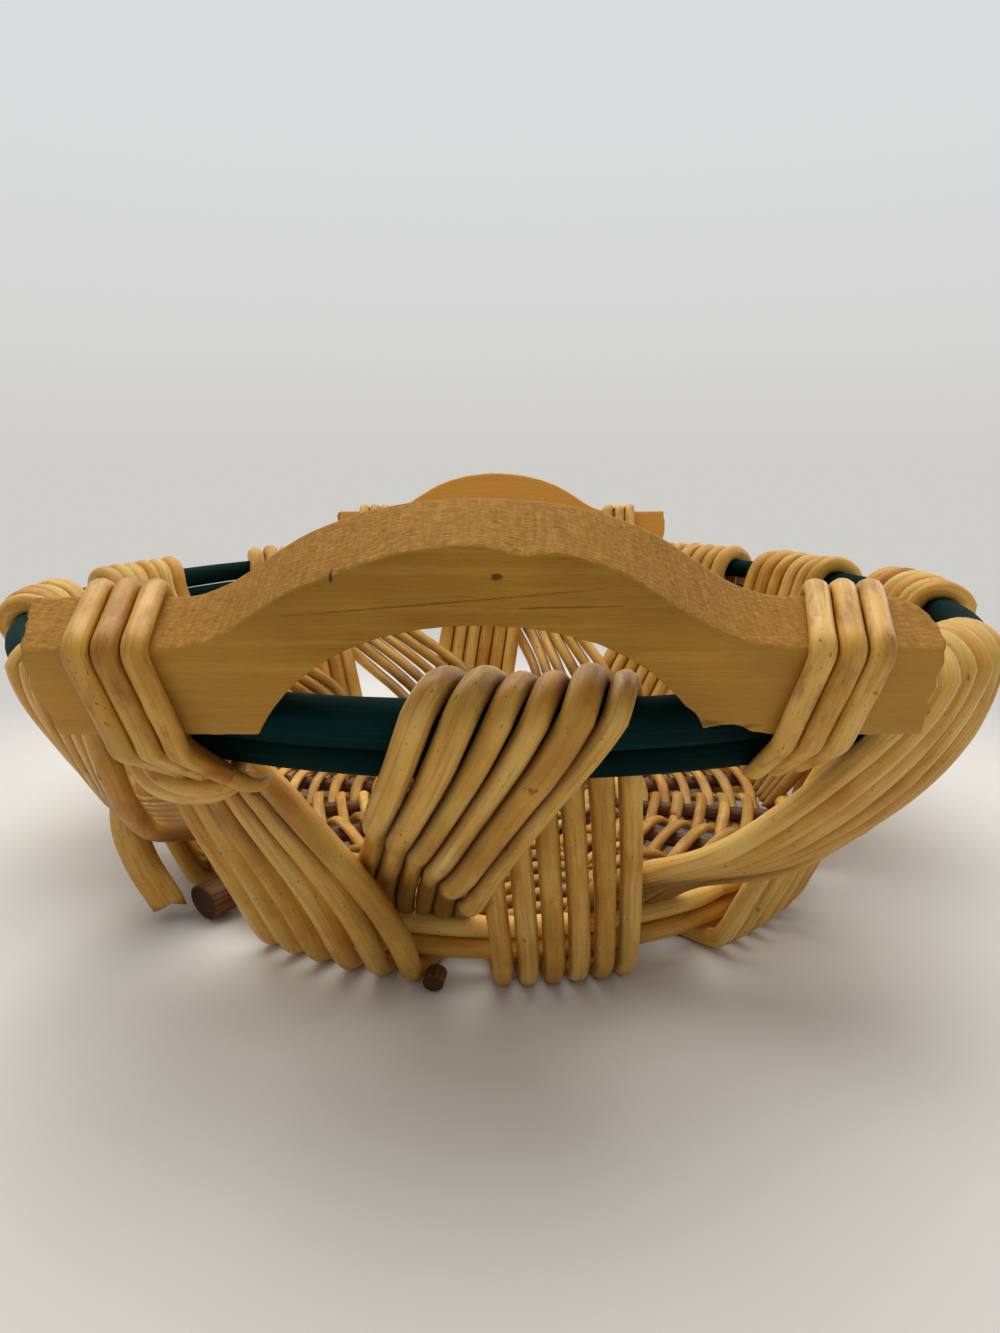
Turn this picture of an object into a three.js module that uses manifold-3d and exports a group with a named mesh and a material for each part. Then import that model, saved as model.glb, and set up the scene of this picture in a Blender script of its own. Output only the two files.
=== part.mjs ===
// A round willow basket: ten bands of stakes rise from a woven base, pass inside two
// stained rim hoops, loop over the rim and sweep down to tuck in beside the next band.
// Two wooden arch handles lean out over the rim, lashed to the hoops at their ends.
// Millimetres and degrees, +Z up. The origin is on the table under the middle.
// Angles run round the basket from +X, so the front handle is at -90.
import * as THREE from 'three';
import { mergeVertices } from 'three/addons/utils/BufferGeometryUtils.js';
import Module from 'manifold-3d';

// Clearances
const gap = 0.3;
const layerGap = 0.7;

// Rim hoops
const rimRadius = 175;
const rimTop = 103.2;
const upperHoopButt = 12.2;
const upperHoopTip = 8.6;
const lowerHoopButt = 8.6;
const lowerHoopTip = 5.6;
const hoopTuck = 25;
const hoopSpread = 4;
const hoopSpreadAngle = 30;

// Base
const baseRadius = 128.6;
const borderRod = 6.8;
const weaveEye = 44;
const weaverWidth = 4.4;
const weaverThickness = 2.4;
const weaverRoom = 1.1;
const stickDiameter = 6;
const stickSpacing = 6.5;
const stickCount = 4;
const stickFan = 22.5;

// Stakes, by diameter
const stakeFoot = 6.4;
const stakeRim = 6.9;
const stakeTip = 5.2;
const stubLength = 18;

// Handles
const handleLeft = 93;
const handleRight = 94.5;
const handleBackLonger = 5;
const handleThickness = 21.8;
const handleEnd = 22.4;
const handleRise = 23.3;
const handleShoulder = 62;
const archHalf = 48;
const archHeight = 27.8;
const handleLean = 22.3;
const endBevel = 5;
const topBevel = 1;
const handleEdge = 1;
const frontHandleShift = -3.7;
const backHandleShift = -1.3;

// Lashings
const lashTurns = 3;
const lashWidth = 4.4;
const lashThickness = 3.2;
const lashPitch = 6;
const frontLashOffset = 78;
const backLashOffset = 72.5;

// The ten bands: angles of their middle at the foot, rim and tuck, the angle from one
// stake to the next there, how far the stakes lean while they cross the rim, how late
// they lean on the way up and down (1 is steadily, more is late), how much later the
// last one leans on the way down than the first, how far the last one bows out from the
// wall there, and how far inside the others they pass the hoops
const bands = [
  { name: 'a', foot: -80.8, footStep: 3.4, rim: -87.3, rimStep: 2.7, tuck: -102, tuckStep: 2.8,
    cross: 4, lateUp: 1, lateDown: 1.3, fan: -0.4, bow: 0, dive: 55, inset: 0 },
  { name: 'b', foot: -46, footStep: 3.8, rim: -44.5, rimStep: 3.2, tuck: -70.5, tuckStep: 2.8,
    cross: 4, lateUp: 1, lateDown: 1.5, fan: 0.7, bow: 7, dive: 46, inset: 0 },
  { name: 'c', foot: -9, footStep: 3.6, rim: 1, rimStep: 2.9, tuck: -33, tuckStep: 3.4,
    cross: 3, lateUp: 1, lateDown: 1.6, fan: -0.4, bow: 0, dive: 62, inset: 0 },
  { name: 'd', foot: 26, footStep: 3.6, rim: 28.5, rimStep: 2.7, tuck: 2, tuckStep: 3.2,
    cross: 3, lateUp: 1, lateDown: 2, fan: -0.4, bow: 0, dive: 62, inset: 0 },
  { name: 'e', foot: 62, footStep: 3.4, rim: 50, rimStep: 2.6, tuck: 36.5, tuckStep: 3.2,
    cross: 2, lateUp: 1, lateDown: 1.95, fan: -0.4, bow: 0, dive: 62, inset: 0 },
  { name: 'f', foot: 98, footStep: 3.4, rim: 90, rimStep: 2.7, tuck: 70, tuckStep: 3.2,
    cross: 4, lateUp: 1, lateDown: 1.6, fan: -0.4, bow: 0, dive: 62, inset: 0 },
  { name: 'g', foot: 134, footStep: 3.6, rim: 131, rimStep: 3, tuck: 105, tuckStep: 3.2,
    cross: 4, lateUp: 1, lateDown: 1.6, fan: -0.4, bow: 0, dive: 62, inset: 0 },
  { name: 'h', foot: 169, footStep: 3.6, rim: 164, rimStep: 3, tuck: 139, tuckStep: 3.2,
    cross: 4, lateUp: 1, lateDown: 1.6, fan: -0.4, bow: 0, dive: 62, inset: 0 },
  { name: 'i', foot: 201, footStep: 3.4, rim: 191, rimStep: 2.9, tuck: 174, tuckStep: 3,
    cross: 4, lateUp: 0.8, lateDown: 2, fan: -0.4, bow: 0, dive: 62, inset: 0 },
  { name: 'j', foot: 246.1, footStep: 4.8, rim: 231, rimStep: 2.5, tuck: 205, tuckStep: 3.4,
    cross: 4, lateUp: 2.4, lateDown: 2.2, fan: -0.5, bow: 5, dive: 48, inset: 4.5 },
];
const stakesInBand = 6;
const tuckHigh = 38;
const bowEnd = 36;
const diveDepth = 16;
const passStart = 1.6;
const passEnd = 4.6;

const rad = THREE.MathUtils.degToRad;
const lerp = THREE.MathUtils.lerp;
const smooth = THREE.MathUtils.smoothstep;

const wasm = await Module();
wasm.setup();

const basket = new THREE.Group();

// Materials
function material(color, roughness) {
  return new THREE.MeshStandardMaterial({ color, roughness, metalness: 0 });
}
const willow = material(0xc99b56, 0.55);
const paleWillow = material(0xd8b47a, 0.6);
const stainedWillow = material(0x123f3e, 0.5);
const brownWillow = material(0x6b4526, 0.7);
const limewood = material(0xc9a25c, 0.6);

function add(name, geometry, mat) {
  const mesh = new THREE.Mesh(geometry, mat);
  mesh.name = name;
  basket.add(mesh);
  return mesh;
}

// A point from its angle round the basket, its distance from the middle and its height
function polar(angle, radius, height) {
  const a = rad(angle);
  return new THREE.Vector3(radius * Math.cos(a), radius * Math.sin(a), height);
}

// A closed skin through rings of as many points each. An open run of rings has end caps.
function loft(rings, closed, capFace) {
  const sides = rings[0].length;
  const spots = rings.flat().flatMap((p) => [p.x, p.y, p.z]);
  const faces = [];
  const runs = closed ? rings.length : rings.length - 1;
  for (let k = 0; k < runs; k += 1) {
    const here = k * sides;
    const next = ((k + 1) % rings.length) * sides;
    for (let s = 0; s < sides; s += 1) {
      const t = (s + 1) % sides;
      faces.push(here + s, here + t, next + t);
      faces.push(here + s, next + t, next + s);
    }
  }
  if (!closed) {
    const last = (rings.length - 1) * sides;
    for (const [a, b, c] of capFace) {
      faces.push(c, b, a);
      faces.push(last + a, last + b, last + c);
    }
  }
  const geometry = new THREE.BufferGeometry();
  geometry.setAttribute('position', new THREE.Float32BufferAttribute(spots, 3));
  geometry.setIndex(faces);
  return geometry;
}

function fan(sides) {
  const faces = [];
  for (let s = 1; s < sides - 1; s += 1) {
    faces.push([0, s, s + 1]);
  }
  return faces;
}

// Booleans between closed geometries
function toSolid(geometry) {
  const bare = geometry.clone();
  bare.deleteAttribute('normal');
  bare.deleteAttribute('uv');
  const merged = mergeVertices(bare, 1e-4);
  return new wasm.Manifold(new wasm.Mesh({
    numProp: 3,
    vertProperties: new Float32Array(merged.attributes.position.array),
    triVerts: new Uint32Array(merged.index.array),
  }));
}

function toGeometry(solid) {
  const mesh = solid.getMesh();
  const geometry = new THREE.BufferGeometry();
  geometry.setAttribute('position', new THREE.BufferAttribute(mesh.vertProperties, 3));
  geometry.setIndex(new THREE.BufferAttribute(mesh.triVerts, 1));
  return geometry;
}

// Rim hoops: rods bent into rings, thick at the front and thin at the back
const hoopSides = 6;
const hoopRings = 40;
// The ring of flats lies half outside and half inside the true circle
const hoopMean = 1 + (1 - Math.cos(Math.PI / hoopRings)) / 2;

// How far round from the front a place is, 0 to 1
function roundness(angle) {
  return (1 - Math.cos(rad(angle + 90))) / 2;
}

function upperHoop(angle) {
  const r = lerp(upperHoopButt, upperHoopTip, roundness(angle)) / 2;
  return { r, out: rimRadius, z: rimTop - r };
}

function lowerHoop(angle) {
  const r = lerp(lowerHoopButt, lowerHoopTip, roundness(angle)) / 2;
  const above = upperHoop(angle);
  const near = (1 + Math.cos(rad(angle - hoopSpreadAngle))) / 2;
  const apart = above.r + r + gap + hoopSpread * near * near;
  return {
    r,
    out: above.out - apart * Math.sin(rad(hoopTuck)),
    z: above.z - apart * Math.cos(rad(hoopTuck)),
  };
}

function hoopGeometry(place) {
  const rings = [];
  for (let k = 0; k < hoopRings; k += 1) {
    const angle = (360 * k) / hoopRings;
    const at = place(angle);
    const ring = [];
    for (let s = 0; s < hoopSides; s += 1) {
      const turn = (2 * Math.PI * s) / hoopSides;
      const out = at.out * hoopMean + at.r * Math.cos(turn);
      ring.push(polar(angle, out, at.z - at.r * Math.sin(turn)));
    }
    rings.push(ring);
  }
  return loft(rings, true);
}

add('rim_hoop_upper', hoopGeometry(upperHoop), stainedWillow);
add('rim_hoop_lower', hoopGeometry(lowerHoop), stainedWillow);

// Base border: two rods, one on the other, on the stakes that pass under them
const footHeight = stakeFoot * 0.433;
const footTop = footHeight + stakeFoot / 2;
const borderRadius = baseRadius - stakeFoot * 0.85 - gap - borderRod / 2;
const borderLow = footTop + gap + borderRod / 2;
const borderHigh = borderLow + borderRod + gap;
const borderTop = borderHigh + borderRod / 2;
const borderRings = 32;

function ringRod(radius, height, diameter) {
  const profile = [];
  for (let s = 0; s <= hoopSides; s += 1) {
    const turn = (2 * Math.PI * s) / hoopSides;
    profile.push(new THREE.Vector2(
      radius + (diameter / 2) * Math.cos(turn),
      height + (diameter / 2) * Math.sin(turn),
    ));
  }
  return new THREE.LatheGeometry(profile, borderRings).rotateX(Math.PI / 2);
}

add('base_border_lower', ringRod(borderRadius, borderLow, borderRod), willow);
add('base_border_upper', ringRod(borderRadius, borderHigh, borderRod), willow);

// Base sticks: two sets of parallel sticks cross at the middle, one set on the other,
// and open out like spokes towards the border
const weaveHeight = stickDiameter + 2 * (weaverRoom + weaverThickness);
const weaveLow = footTop + gap;
const weaveTop = weaveLow + weaveHeight;
const weaveRadius = borderRadius - borderRod / 2 - gap;
const spokeHeight = (weaveLow + weaveTop) / 2;
const crossLow = spokeHeight - stickDiameter / 2 - gap / 2;
const crossHigh = spokeHeight + stickDiameter / 2 + gap / 2;
const crossHalf = (stickSpacing * (stickCount - 1)) / 2 + stickDiameter / 2 + 1.5;

function stickPath(index, crossHeight) {
  const side = index - (stickCount - 1) / 2;
  const across = side * stickSpacing;
  const open = rad(side * stickFan);
  const arm = (reach, height) => new THREE.Vector3(
    reach * Math.cos(open),
    reach * Math.sin(open),
    height,
  );
  const half = [
    new THREE.Vector3(crossHalf * 0.45, across, crossHeight),
    new THREE.Vector3(crossHalf, across, crossHeight),
    arm(weaveRadius * 0.34, spokeHeight),
    arm(weaveRadius, spokeHeight),
  ];
  const mirrored = half.map((p) => new THREE.Vector3(-p.x, p.y, p.z)).reverse();
  return new THREE.CatmullRomCurve3([...mirrored, ...half], false, 'centripetal');
}

function stickGeometry(index, crossHeight, turned, grow) {
  const round = new THREE.Shape();
  const sides = 5;
  for (let s = 0; s < sides; s += 1) {
    const turn = (2 * Math.PI * s) / sides;
    const x = (stickDiameter / 2 + grow) * Math.cos(turn);
    const y = (stickDiameter / 2 + grow) * Math.sin(turn);
    if (s === 0) {
      round.moveTo(x, y);
    } else {
      round.lineTo(x, y);
    }
  }
  const geometry = new THREE.ExtrudeGeometry(round, {
    steps: 11,
    bevelEnabled: false,
    extrudePath: stickPath(index, crossHeight),
  });
  return turned ? geometry.rotateZ(Math.PI / 2) : geometry;
}

// Base weave: a plain middle with a tunnel along each spoke, and two weavers that wind
// out from it to the border, one over each spoke where the other goes under
const spokeAngles = [];
for (const arm of [0, 90, 180, 270]) {
  for (let k = 0; k < stickCount; k += 1) {
    spokeAngles.push(arm + (k - (stickCount - 1) / 2) * stickFan);
  }
}
const weaverRise = (weaveHeight - weaverThickness) / 2;
const weaverPitch = weaverWidth + gap;
// Nearer the middle, a weaver would slant so much that it came too near the sticks
const steepest = Math.acos((stickDiameter / 2 + gap) / (stickDiameter / 2 + weaverRoom));
const leastRadius = weaverRise / (Math.tan(steepest) * Math.tan(rad(stickFan / 2)));
const lastRow = weaveRadius - weaverWidth / 2;
const weaveRows = Math.floor((lastRow - weaverPitch / 2 - leastRadius) / weaverPitch);
const firstRow = lastRow - weaveRows * weaverPitch;
const middleRadius = firstRow - weaverWidth / 2 - gap;
const middleRings = 24;

// A weaver's tail starts inside the woven middle, between two spokes
function weaverGeometry(start) {
  const spokes = spokeAngles.length;
  const first = (start * spokes) / 2;
  const section = (angle, radius, height) => [[-1, -1], [-1, 1], [1, 1], [1, -1]].map(
    ([out, up]) => polar(
      angle,
      radius + (out * weaverWidth) / 2,
      height + (up * weaverThickness) / 2,
    ),
  );
  const tail = spokeAngles[first] - stickFan / 2;
  const rings = [section(tail, middleRadius - weaverWidth, spokeHeight)];
  for (let k = 0; k <= (weaveRows * spokes) / 2; k += 1) {
    const over = (k + start) % 2 === 1;
    const height = spokeHeight + (over ? weaverRise : -weaverRise);
    const radius = firstRow + (2 * weaverPitch * k) / spokes;
    rings.push(section(spokeAngles[(first + k) % spokes], radius, height));
  }
  return loft(rings, false, fan(4));
}

const middle = new THREE.LatheGeometry([
  new THREE.Vector2(weaveEye / 2, weaveLow),
  new THREE.Vector2(middleRadius, weaveLow),
  new THREE.Vector2(middleRadius, weaveTop),
  new THREE.Vector2(weaveEye / 2, weaveTop),
  new THREE.Vector2(weaveEye / 2, weaveLow),
], middleRings).rotateX(Math.PI / 2);
let weave = toSolid(middle);
for (const [set, height, turned] of [['lower', crossLow, false], ['upper', crossHigh, true]]) {
  for (let k = 0; k < stickCount; k += 1) {
    add(`base_stick_${set}_${k + 1}`, stickGeometry(k, height, turned, 0), brownWillow);
    weave = weave.subtract(toSolid(stickGeometry(k, height, turned, gap)));
  }
}
for (const start of [0, 1]) {
  weave = weave.add(toSolid(weaverGeometry(start)));
}
add('base_weave', toGeometry(weave), paleWillow);

// Stakes: the wall line is the middle of a stake on its way up
const wallFootRadius = baseRadius + stakeFoot * 0.1;
const wallFootHeight = footHeight + stakeFoot * 0.75;
const wallTopRadius = lowerHoop(-90).out - lowerHoop(-90).r - stakeRim / 2 - layerGap;
const wallTopHeight = lowerHoop(-90).z;
const layer = stakeRim + layerGap;

function wallRadius(height) {
  const share = (height - wallFootHeight) / (wallTopHeight - wallFootHeight);
  return lerp(wallFootRadius, wallTopRadius, share);
}

function stakeAngles(band, index) {
  const side = index - (stakesInBand - 1) / 2;
  return {
    foot: band.foot + side * band.footStep,
    rimIn: band.rim + side * band.rimStep + band.cross / 2,
    rimOut: band.rim + side * band.rimStep - band.cross / 2,
    tuck: band.tuck + side * band.tuckStep,
  };
}

// The angle of a stake at a height on its way up
function risingAngle(band, index, height) {
  const at = stakeAngles(band, index);
  const share = Math.max(0, (height - wallFootHeight) / (wallTopHeight - wallFootHeight));
  return lerp(at.foot, at.rimIn, Math.min(1, share) ** band.lateUp);
}

const loopAngles = [180, 135, 90, 45, 0];
const loopRound = 1 / Math.cos(rad(22.5));

function loopAt(band, index, turn) {
  const at = stakeAngles(band, index);
  const angle = lerp(at.rimOut, at.rimIn, turn / 180);
  const hoop = upperHoop(angle);
  const bend = (hoop.r + gap + stakeRim / 2) * loopRound;
  const inset = band.inset * Math.max(0, -Math.cos(rad(turn)));
  const x = bend * Math.cos(rad(turn)) - inset;
  return { angle, radius: hoop.out + x, height: hoop.z + bend * Math.sin(rad(turn)) };
}

// A stake on its way down: outside its own band, then inside the next band's stakes
function fallingAt(band, index, share) {
  const at = stakeAngles(band, index);
  const start = loopAt(band, index, 0);
  const tuckLow = borderTop + gap + stakeTip / 2 + 0.6;
  const tuckHeight = lerp(tuckHigh, tuckLow, index / (stakesInBand - 1));
  const height = lerp(start.height, tuckHeight, share);
  const place = index / (stakesInBand - 1);
  const angle = lerp(at.rimOut, at.tuck, share ** (band.lateDown + band.fan * place));
  const first = risingAngle(band, 0, height);
  const dive = lerp(band.dive, tuckHeight + 3, place);
  const past = smooth(first - angle, passStart, passEnd) * (1 - smooth(height, dive, dive + diveDepth));
  const rimOff = start.radius - wallRadius(start.height);
  const above = Math.max(0, (height - 50) / (start.height - 50));
  const bowed = Math.min(1, (start.height - height) / (start.height - bowEnd));
  const bow = band.bow * place * Math.sin(Math.PI * bowed);
  const outer = lerp(layer + 0.8, rimOff, above ** 0.6) + bow;
  const inner = -lerp(layer * 2.1, layer, smooth(height, tuckLow, 45));
  return { angle, radius: wallRadius(height) + lerp(outer, inner, past), height };
}

const risingHeights = [46];
const lateHeights = [38, 60];
const fallingShares = [0.19, 0.37, 0.58, 0.8, 1];

// The stations of a stake's middle line, each with its radius there
function stakeStations(band, index) {
  const at = stakeAngles(band, index);
  const out = polar(band.foot, 1, 0);
  const foot = polar(at.foot, wallFootRadius, wallFootHeight);
  const heel = polar(at.foot, baseRadius - stakeFoot * 0.4, footHeight);
  const stub = heel.clone().addScaledVector(out, -stubLength);
  const stations = [stub, heel, foot].map((p) => ({ p, r: stakeFoot / 2 }));
  for (const height of band.lateUp > 1 ? lateHeights : risingHeights) {
    const r = lerp(stakeFoot, stakeRim, height / rimTop) / 2;
    stations.push({ p: polar(risingAngle(band, index, height), wallRadius(height), height), r });
  }
  const high = wallTopHeight - 4;
  stations.push({
    p: polar(risingAngle(band, index, high), wallRadius(high) - band.inset, high),
    r: stakeRim / 2,
  });
  for (const turn of loopAngles) {
    const spot = loopAt(band, index, turn);
    stations.push({ p: polar(spot.angle, spot.radius, spot.height), r: stakeRim / 2 });
  }
  for (const share of fallingShares) {
    const spot = fallingAt(band, index, share);
    const r = lerp(stakeRim, stakeTip, share) / 2;
    stations.push({ p: polar(spot.angle, spot.radius, spot.height), r });
  }
  return stations;
}

// The section of two stakes side by side, as turns round each stake's middle from the
// line that joins them, with a waist between them
const rightLobe = [240, 300, 0, 60, 120];
const leftLobe = [60, 120, 180, 240, 300];
const waist = 0.4;

function pairGeometry(band, first) {
  const left = stakeStations(band, first);
  const right = stakeStations(band, first + 1);
  const middles = left.map((station, k) => station.p.clone().add(right[k].p).multiplyScalar(0.5));
  const rings = middles.map((middle, k) => {
    const before = middles[Math.max(0, k - 1)];
    const after = middles[Math.min(middles.length - 1, k + 1)];
    const along = after.clone().sub(before).normalize();
    const across = right[k].p.clone().sub(left[k].p).normalize();
    const face = new THREE.Vector3().crossVectors(along, across).normalize();
    const spot = (station, turn) => station.p.clone()
      .addScaledVector(across, station.r * Math.cos(rad(turn)))
      .addScaledVector(face, station.r * Math.sin(rad(turn)));
    return [
      ...rightLobe.map((turn) => spot(right[k], turn)),
      middle.clone().addScaledVector(face, waist * right[k].r),
      ...leftLobe.map((turn) => spot(left[k], turn)),
      middle.clone().addScaledVector(face, -waist * left[k].r),
    ];
  });
  const flat = [];
  for (const [stations, lobe, shift] of [[right, rightLobe, 1], [left, leftLobe, 0]]) {
    for (const turn of lobe) {
      flat.push(new THREE.Vector2(
        shift * 2.2 + Math.cos(rad(turn)),
        Math.sin(rad(turn)),
      ));
    }
    flat.push(new THREE.Vector2(1.1, shift ? waist : -waist));
  }
  return loft(rings, false, THREE.ShapeUtils.triangulateShape(flat, []));
}

for (const band of bands) {
  for (let pair = 0; pair < stakesInBand / 2; pair += 1) {
    add(`stakes_${band.name}_${pair + 1}`, pairGeometry(band, pair * 2), willow);
  }
}

// Handles: an arch cut from a thick board, leaning outward, seated on the upper hoop
// at the two feet of its arch
function handleOutline() {
  const top = handleEnd + handleRise;
  const side = (away) => archHalf * away;
  const shoulder = handleShoulder;
  const shape = new THREE.Shape();
  shape.moveTo(-handleLeft + endBevel, 0);
  shape.lineTo(-archHalf, 0);
  shape.bezierCurveTo(side(-0.8), archHeight * 0.68, side(-0.46), archHeight, 0, archHeight);
  shape.bezierCurveTo(side(0.46), archHeight, side(0.8), archHeight * 0.68, archHalf, 0);
  shape.lineTo(handleRight - topBevel, 0);
  shape.lineTo(handleRight, handleEnd / 2);
  shape.lineTo(handleRight - topBevel, handleEnd);
  shape.lineTo(shoulder, handleEnd);
  shape.bezierCurveTo(shoulder * 0.63, handleEnd + 2, shoulder * 0.53, top, 0, top);
  shape.bezierCurveTo(-shoulder * 0.53, top, -shoulder * 0.63, handleEnd + 2, -shoulder, handleEnd);
  shape.lineTo(-handleLeft + topBevel, handleEnd);
  shape.lineTo(-handleLeft, handleEnd / 2);
  shape.lineTo(-handleLeft + endBevel, 0);
  return shape;
}

// Where the outer lower edge of a handle lies, out from the middle and up
const leanCos = Math.cos(rad(handleLean));
const leanSin = Math.sin(rad(handleLean));
const handleOut = rimRadius + 8.9;

function handleHeight(middleAngle) {
  const footAngle = Math.asin(archHalf / rimRadius) * THREE.MathUtils.RAD2DEG;
  const hoop = upperHoop(middleAngle + footAngle);
  const hoopOut = rimRadius * Math.cos(rad(footAngle));
  const lift = (hoop.r + gap) / leanCos;
  return hoop.z + lift - ((handleOut - hoopOut) * leanSin) / leanCos;
}

// The ends are cut on a slant, so the board is longer at its inner face
function handleGeometry() {
  const geometry = new THREE.ExtrudeGeometry(handleOutline(), {
    depth: handleThickness - 2 * handleEdge,
    steps: 1,
    curveSegments: 7,
    bevelEnabled: true,
    bevelThickness: handleEdge,
    bevelSize: handleEdge,
    bevelOffset: -handleEdge,
    bevelSegments: 1,
  }).translate(0, 0, -handleThickness + handleEdge);
  const spots = geometry.attributes.position;
  for (let k = 0; k < spots.count; k += 1) {
    const x = spots.getX(k);
    if (Math.abs(x) > handleShoulder + 1) {
      const depth = -spots.getZ(k) / handleThickness;
      spots.setX(k, x + Math.sign(x) * handleBackLonger * depth);
    }
  }
  return geometry;
}

// The board stands up, its outer face turned to -Y, and leans out by the same turn
for (const [name, shift, middleAngle, turn] of [
  ['handle_front', frontHandleShift, -90, 0],
  ['handle_back', backHandleShift, 90, Math.PI],
]) {
  const geometry = handleGeometry()
    .rotateX(Math.PI / 2 + rad(handleLean))
    .translate(0, -handleOut, handleHeight(middleAngle))
    .rotateZ(turn)
    .translate(shift, 0, 0);
  add(name, geometry, limewood);
}

// Lashings: an unbroken winding round a handle end and both hoops. At each turn of the
// section it lies on the outermost place there, so it is straight between them.
const lashOff = lashThickness / 2 + gap + 0.15;

// The four edges of a handle's end, out from the middle and up
function handleEdges(middleAngle) {
  const low = handleHeight(middleAngle);
  return [[0, 0], [1, 0], [1, 1], [0, 1]].map(([up, back]) => [
    handleOut + up * handleEnd * leanSin - back * handleThickness * leanCos,
    low + up * handleEnd * leanCos + back * handleThickness * leanSin,
  ]);
}

function lashSpot(x, middleAngle, turn) {
  const c = Math.cos(turn);
  const s = Math.sin(turn);
  const away = Math.sign(middleAngle);
  let best = -Infinity;
  let spot = null;
  for (const [out, up] of handleEdges(middleAngle)) {
    const reach = out * c + up * s;
    if (reach > best) {
      best = reach;
      spot = {
        p: new THREE.Vector3(x, away * (out + lashOff * c), up + lashOff * s),
        face: new THREE.Vector3(0, away * c, s),
      };
    }
  }
  for (const hoop of [upperHoop, lowerHoop]) {
    const rough = middleAngle - (away * THREE.MathUtils.RAD2DEG * x) / rimRadius;
    const near = hoop(rough);
    const far = near.out + (near.r + lashOff) * c;
    const angle = away * Math.acos(x / far) * THREE.MathUtils.RAD2DEG;
    const at = hoop(angle);
    const reach = at.out * Math.sin(Math.abs(rad(angle))) * c + at.z * s + at.r;
    if (reach > best) {
      best = reach;
      const face = polar(angle, c, s);
      spot = { p: polar(angle, at.out, at.z).addScaledVector(face, at.r + lashOff), face };
    }
  }
  return spot;
}

// One turn of a lashing, point by point: the direction that it faces, in degrees up from
// straight out, whose drift along the handle it has, and its share of the way from there
// to the next turn
const lashTurn = [
  [122, 'start', 0], [98, 'start', 0], [76, 'start', 0],
  [60, 'top', 0], [23, 'top', 0], [-14, 'top', 0],
  [-28, 'low', 0], [-44, 'low', 0],
  [-78, 'hoops', 0], [-99, 'hoops', 0], [-120, 'hoops', 0], [-142, 'hoops', 0],
  [-165, 'hoops', 0.1], [-188, 'hoops', 0.25], [-211, 'hoops', 0.4],
];
const lashTail = 4;

function lashStations(lashing) {
  const front = lashing.middle < 0;
  const shift = front ? frontHandleShift : backHandleShift;
  const from = (front ? frontLashOffset : backLashOffset) + ((lashTurns - 1) / 2) * lashPitch;
  const steps = lashTurn.length;
  const stations = [];
  for (let k = -lashTail; k < lashTurns * steps - lashTail + 1; k += 1) {
    const turn = Math.floor(k / steps);
    const [facing, drift, back] = lashTurn[k - turn * steps];
    const along = turn * lashPitch + lerp(lashing.drifts[drift], lashPitch + lashing.drifts.start, back);
    const x = shift + lashing.hand * (from - along);
    stations.push(lashSpot(x, lashing.middle, rad(facing)));
  }
  clearHoops(stations);
  return stations;
}

// Moves the winding's points out until no straight run between two of them is too near
// a hoop
function clearHoops(stations) {
  for (let round = 0; round < 12; round += 1) {
    for (let k = 1; k < stations.length; k += 1) {
      const [before, after] = [stations[k - 1], stations[k]];
      for (const share of [0, 0.25, 0.5, 0.75, 1]) {
        const p = before.p.clone().lerp(after.p, share);
        for (const hoop of [upperHoop, lowerHoop]) {
          const angle = Math.atan2(p.y, p.x) * THREE.MathUtils.RAD2DEG;
          const at = hoop(angle);
          const away = p.clone().sub(polar(angle, at.out, at.z));
          const short = at.r + lashOff - away.length();
          if (short > 0) {
            away.setLength(short);
            before.p.add(away);
            after.p.add(away);
          }
        }
      }
    }
  }
}

// The least gap between one turn and the next, on the winding's own points
function turnGap(stations) {
  let least = Infinity;
  for (let a = 0; a < stations.length; a += 1) {
    for (let b = a + Math.round(lashTurn.length / 2); b < stations.length; b += 1) {
      least = Math.min(least, stations[a].p.distanceTo(stations[b].p) - lashWidth);
    }
  }
  return least;
}

function lashGeometry(stations) {
  const rings = stations.map((station, k) => {
    const before = stations[Math.max(0, k - 1)].p;
    const after = stations[Math.min(stations.length - 1, k + 1)].p;
    const along = after.clone().sub(before).normalize();
    const across = new THREE.Vector3().crossVectors(station.face, along).normalize();
    const up = new THREE.Vector3().crossVectors(along, across).normalize();
    const ring = [];
    for (let s = 0; s < 6; s += 1) {
      const turn = (2 * Math.PI * s) / 6;
      ring.push(station.p.clone()
        .addScaledVector(across, (lashWidth / 2) * Math.cos(turn))
        .addScaledVector(up, (lashThickness / 2) * Math.sin(turn) * 1.15));
    }
    return ring;
  });
  return loft(rings, false, fan(6));
}

const lashings = [
  { name: 'front_left', middle: -90, hand: -1, drifts: { start: 0, top: 3, low: 7, hoops: 11 } },
  { name: 'front_right', middle: -90, hand: 1, drifts: { start: -2, top: 3, low: 7, hoops: 5 } },
  { name: 'back_left', middle: 90, hand: -1, drifts: { start: 0, top: 3, low: 6, hoops: 8 } },
  { name: 'back_right', middle: 90, hand: 1, drifts: { start: 0, top: 3, low: 6, hoops: 8 } },
];
for (const lashing of lashings) {
  const stations = lashStations(lashing);
  console.log(`lashing ${lashing.name}: least gap between turns ${turnGap(stations).toFixed(2)} mm`);
  add(`lashing_${lashing.name}`, lashGeometry(stations), paleWillow);
}

export default basket;
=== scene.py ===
"""A willow centerpiece basket: bands of stakes looped over two stained rim hoops, a woven
base, and two sawn wooden handles lashed across the rim."""
import math

import bpy
import numpy as np
from bpy.props import FloatProperty, FloatVectorProperty, IntProperty, PointerProperty
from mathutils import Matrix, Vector
from mathutils.kdtree import KDTree


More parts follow.
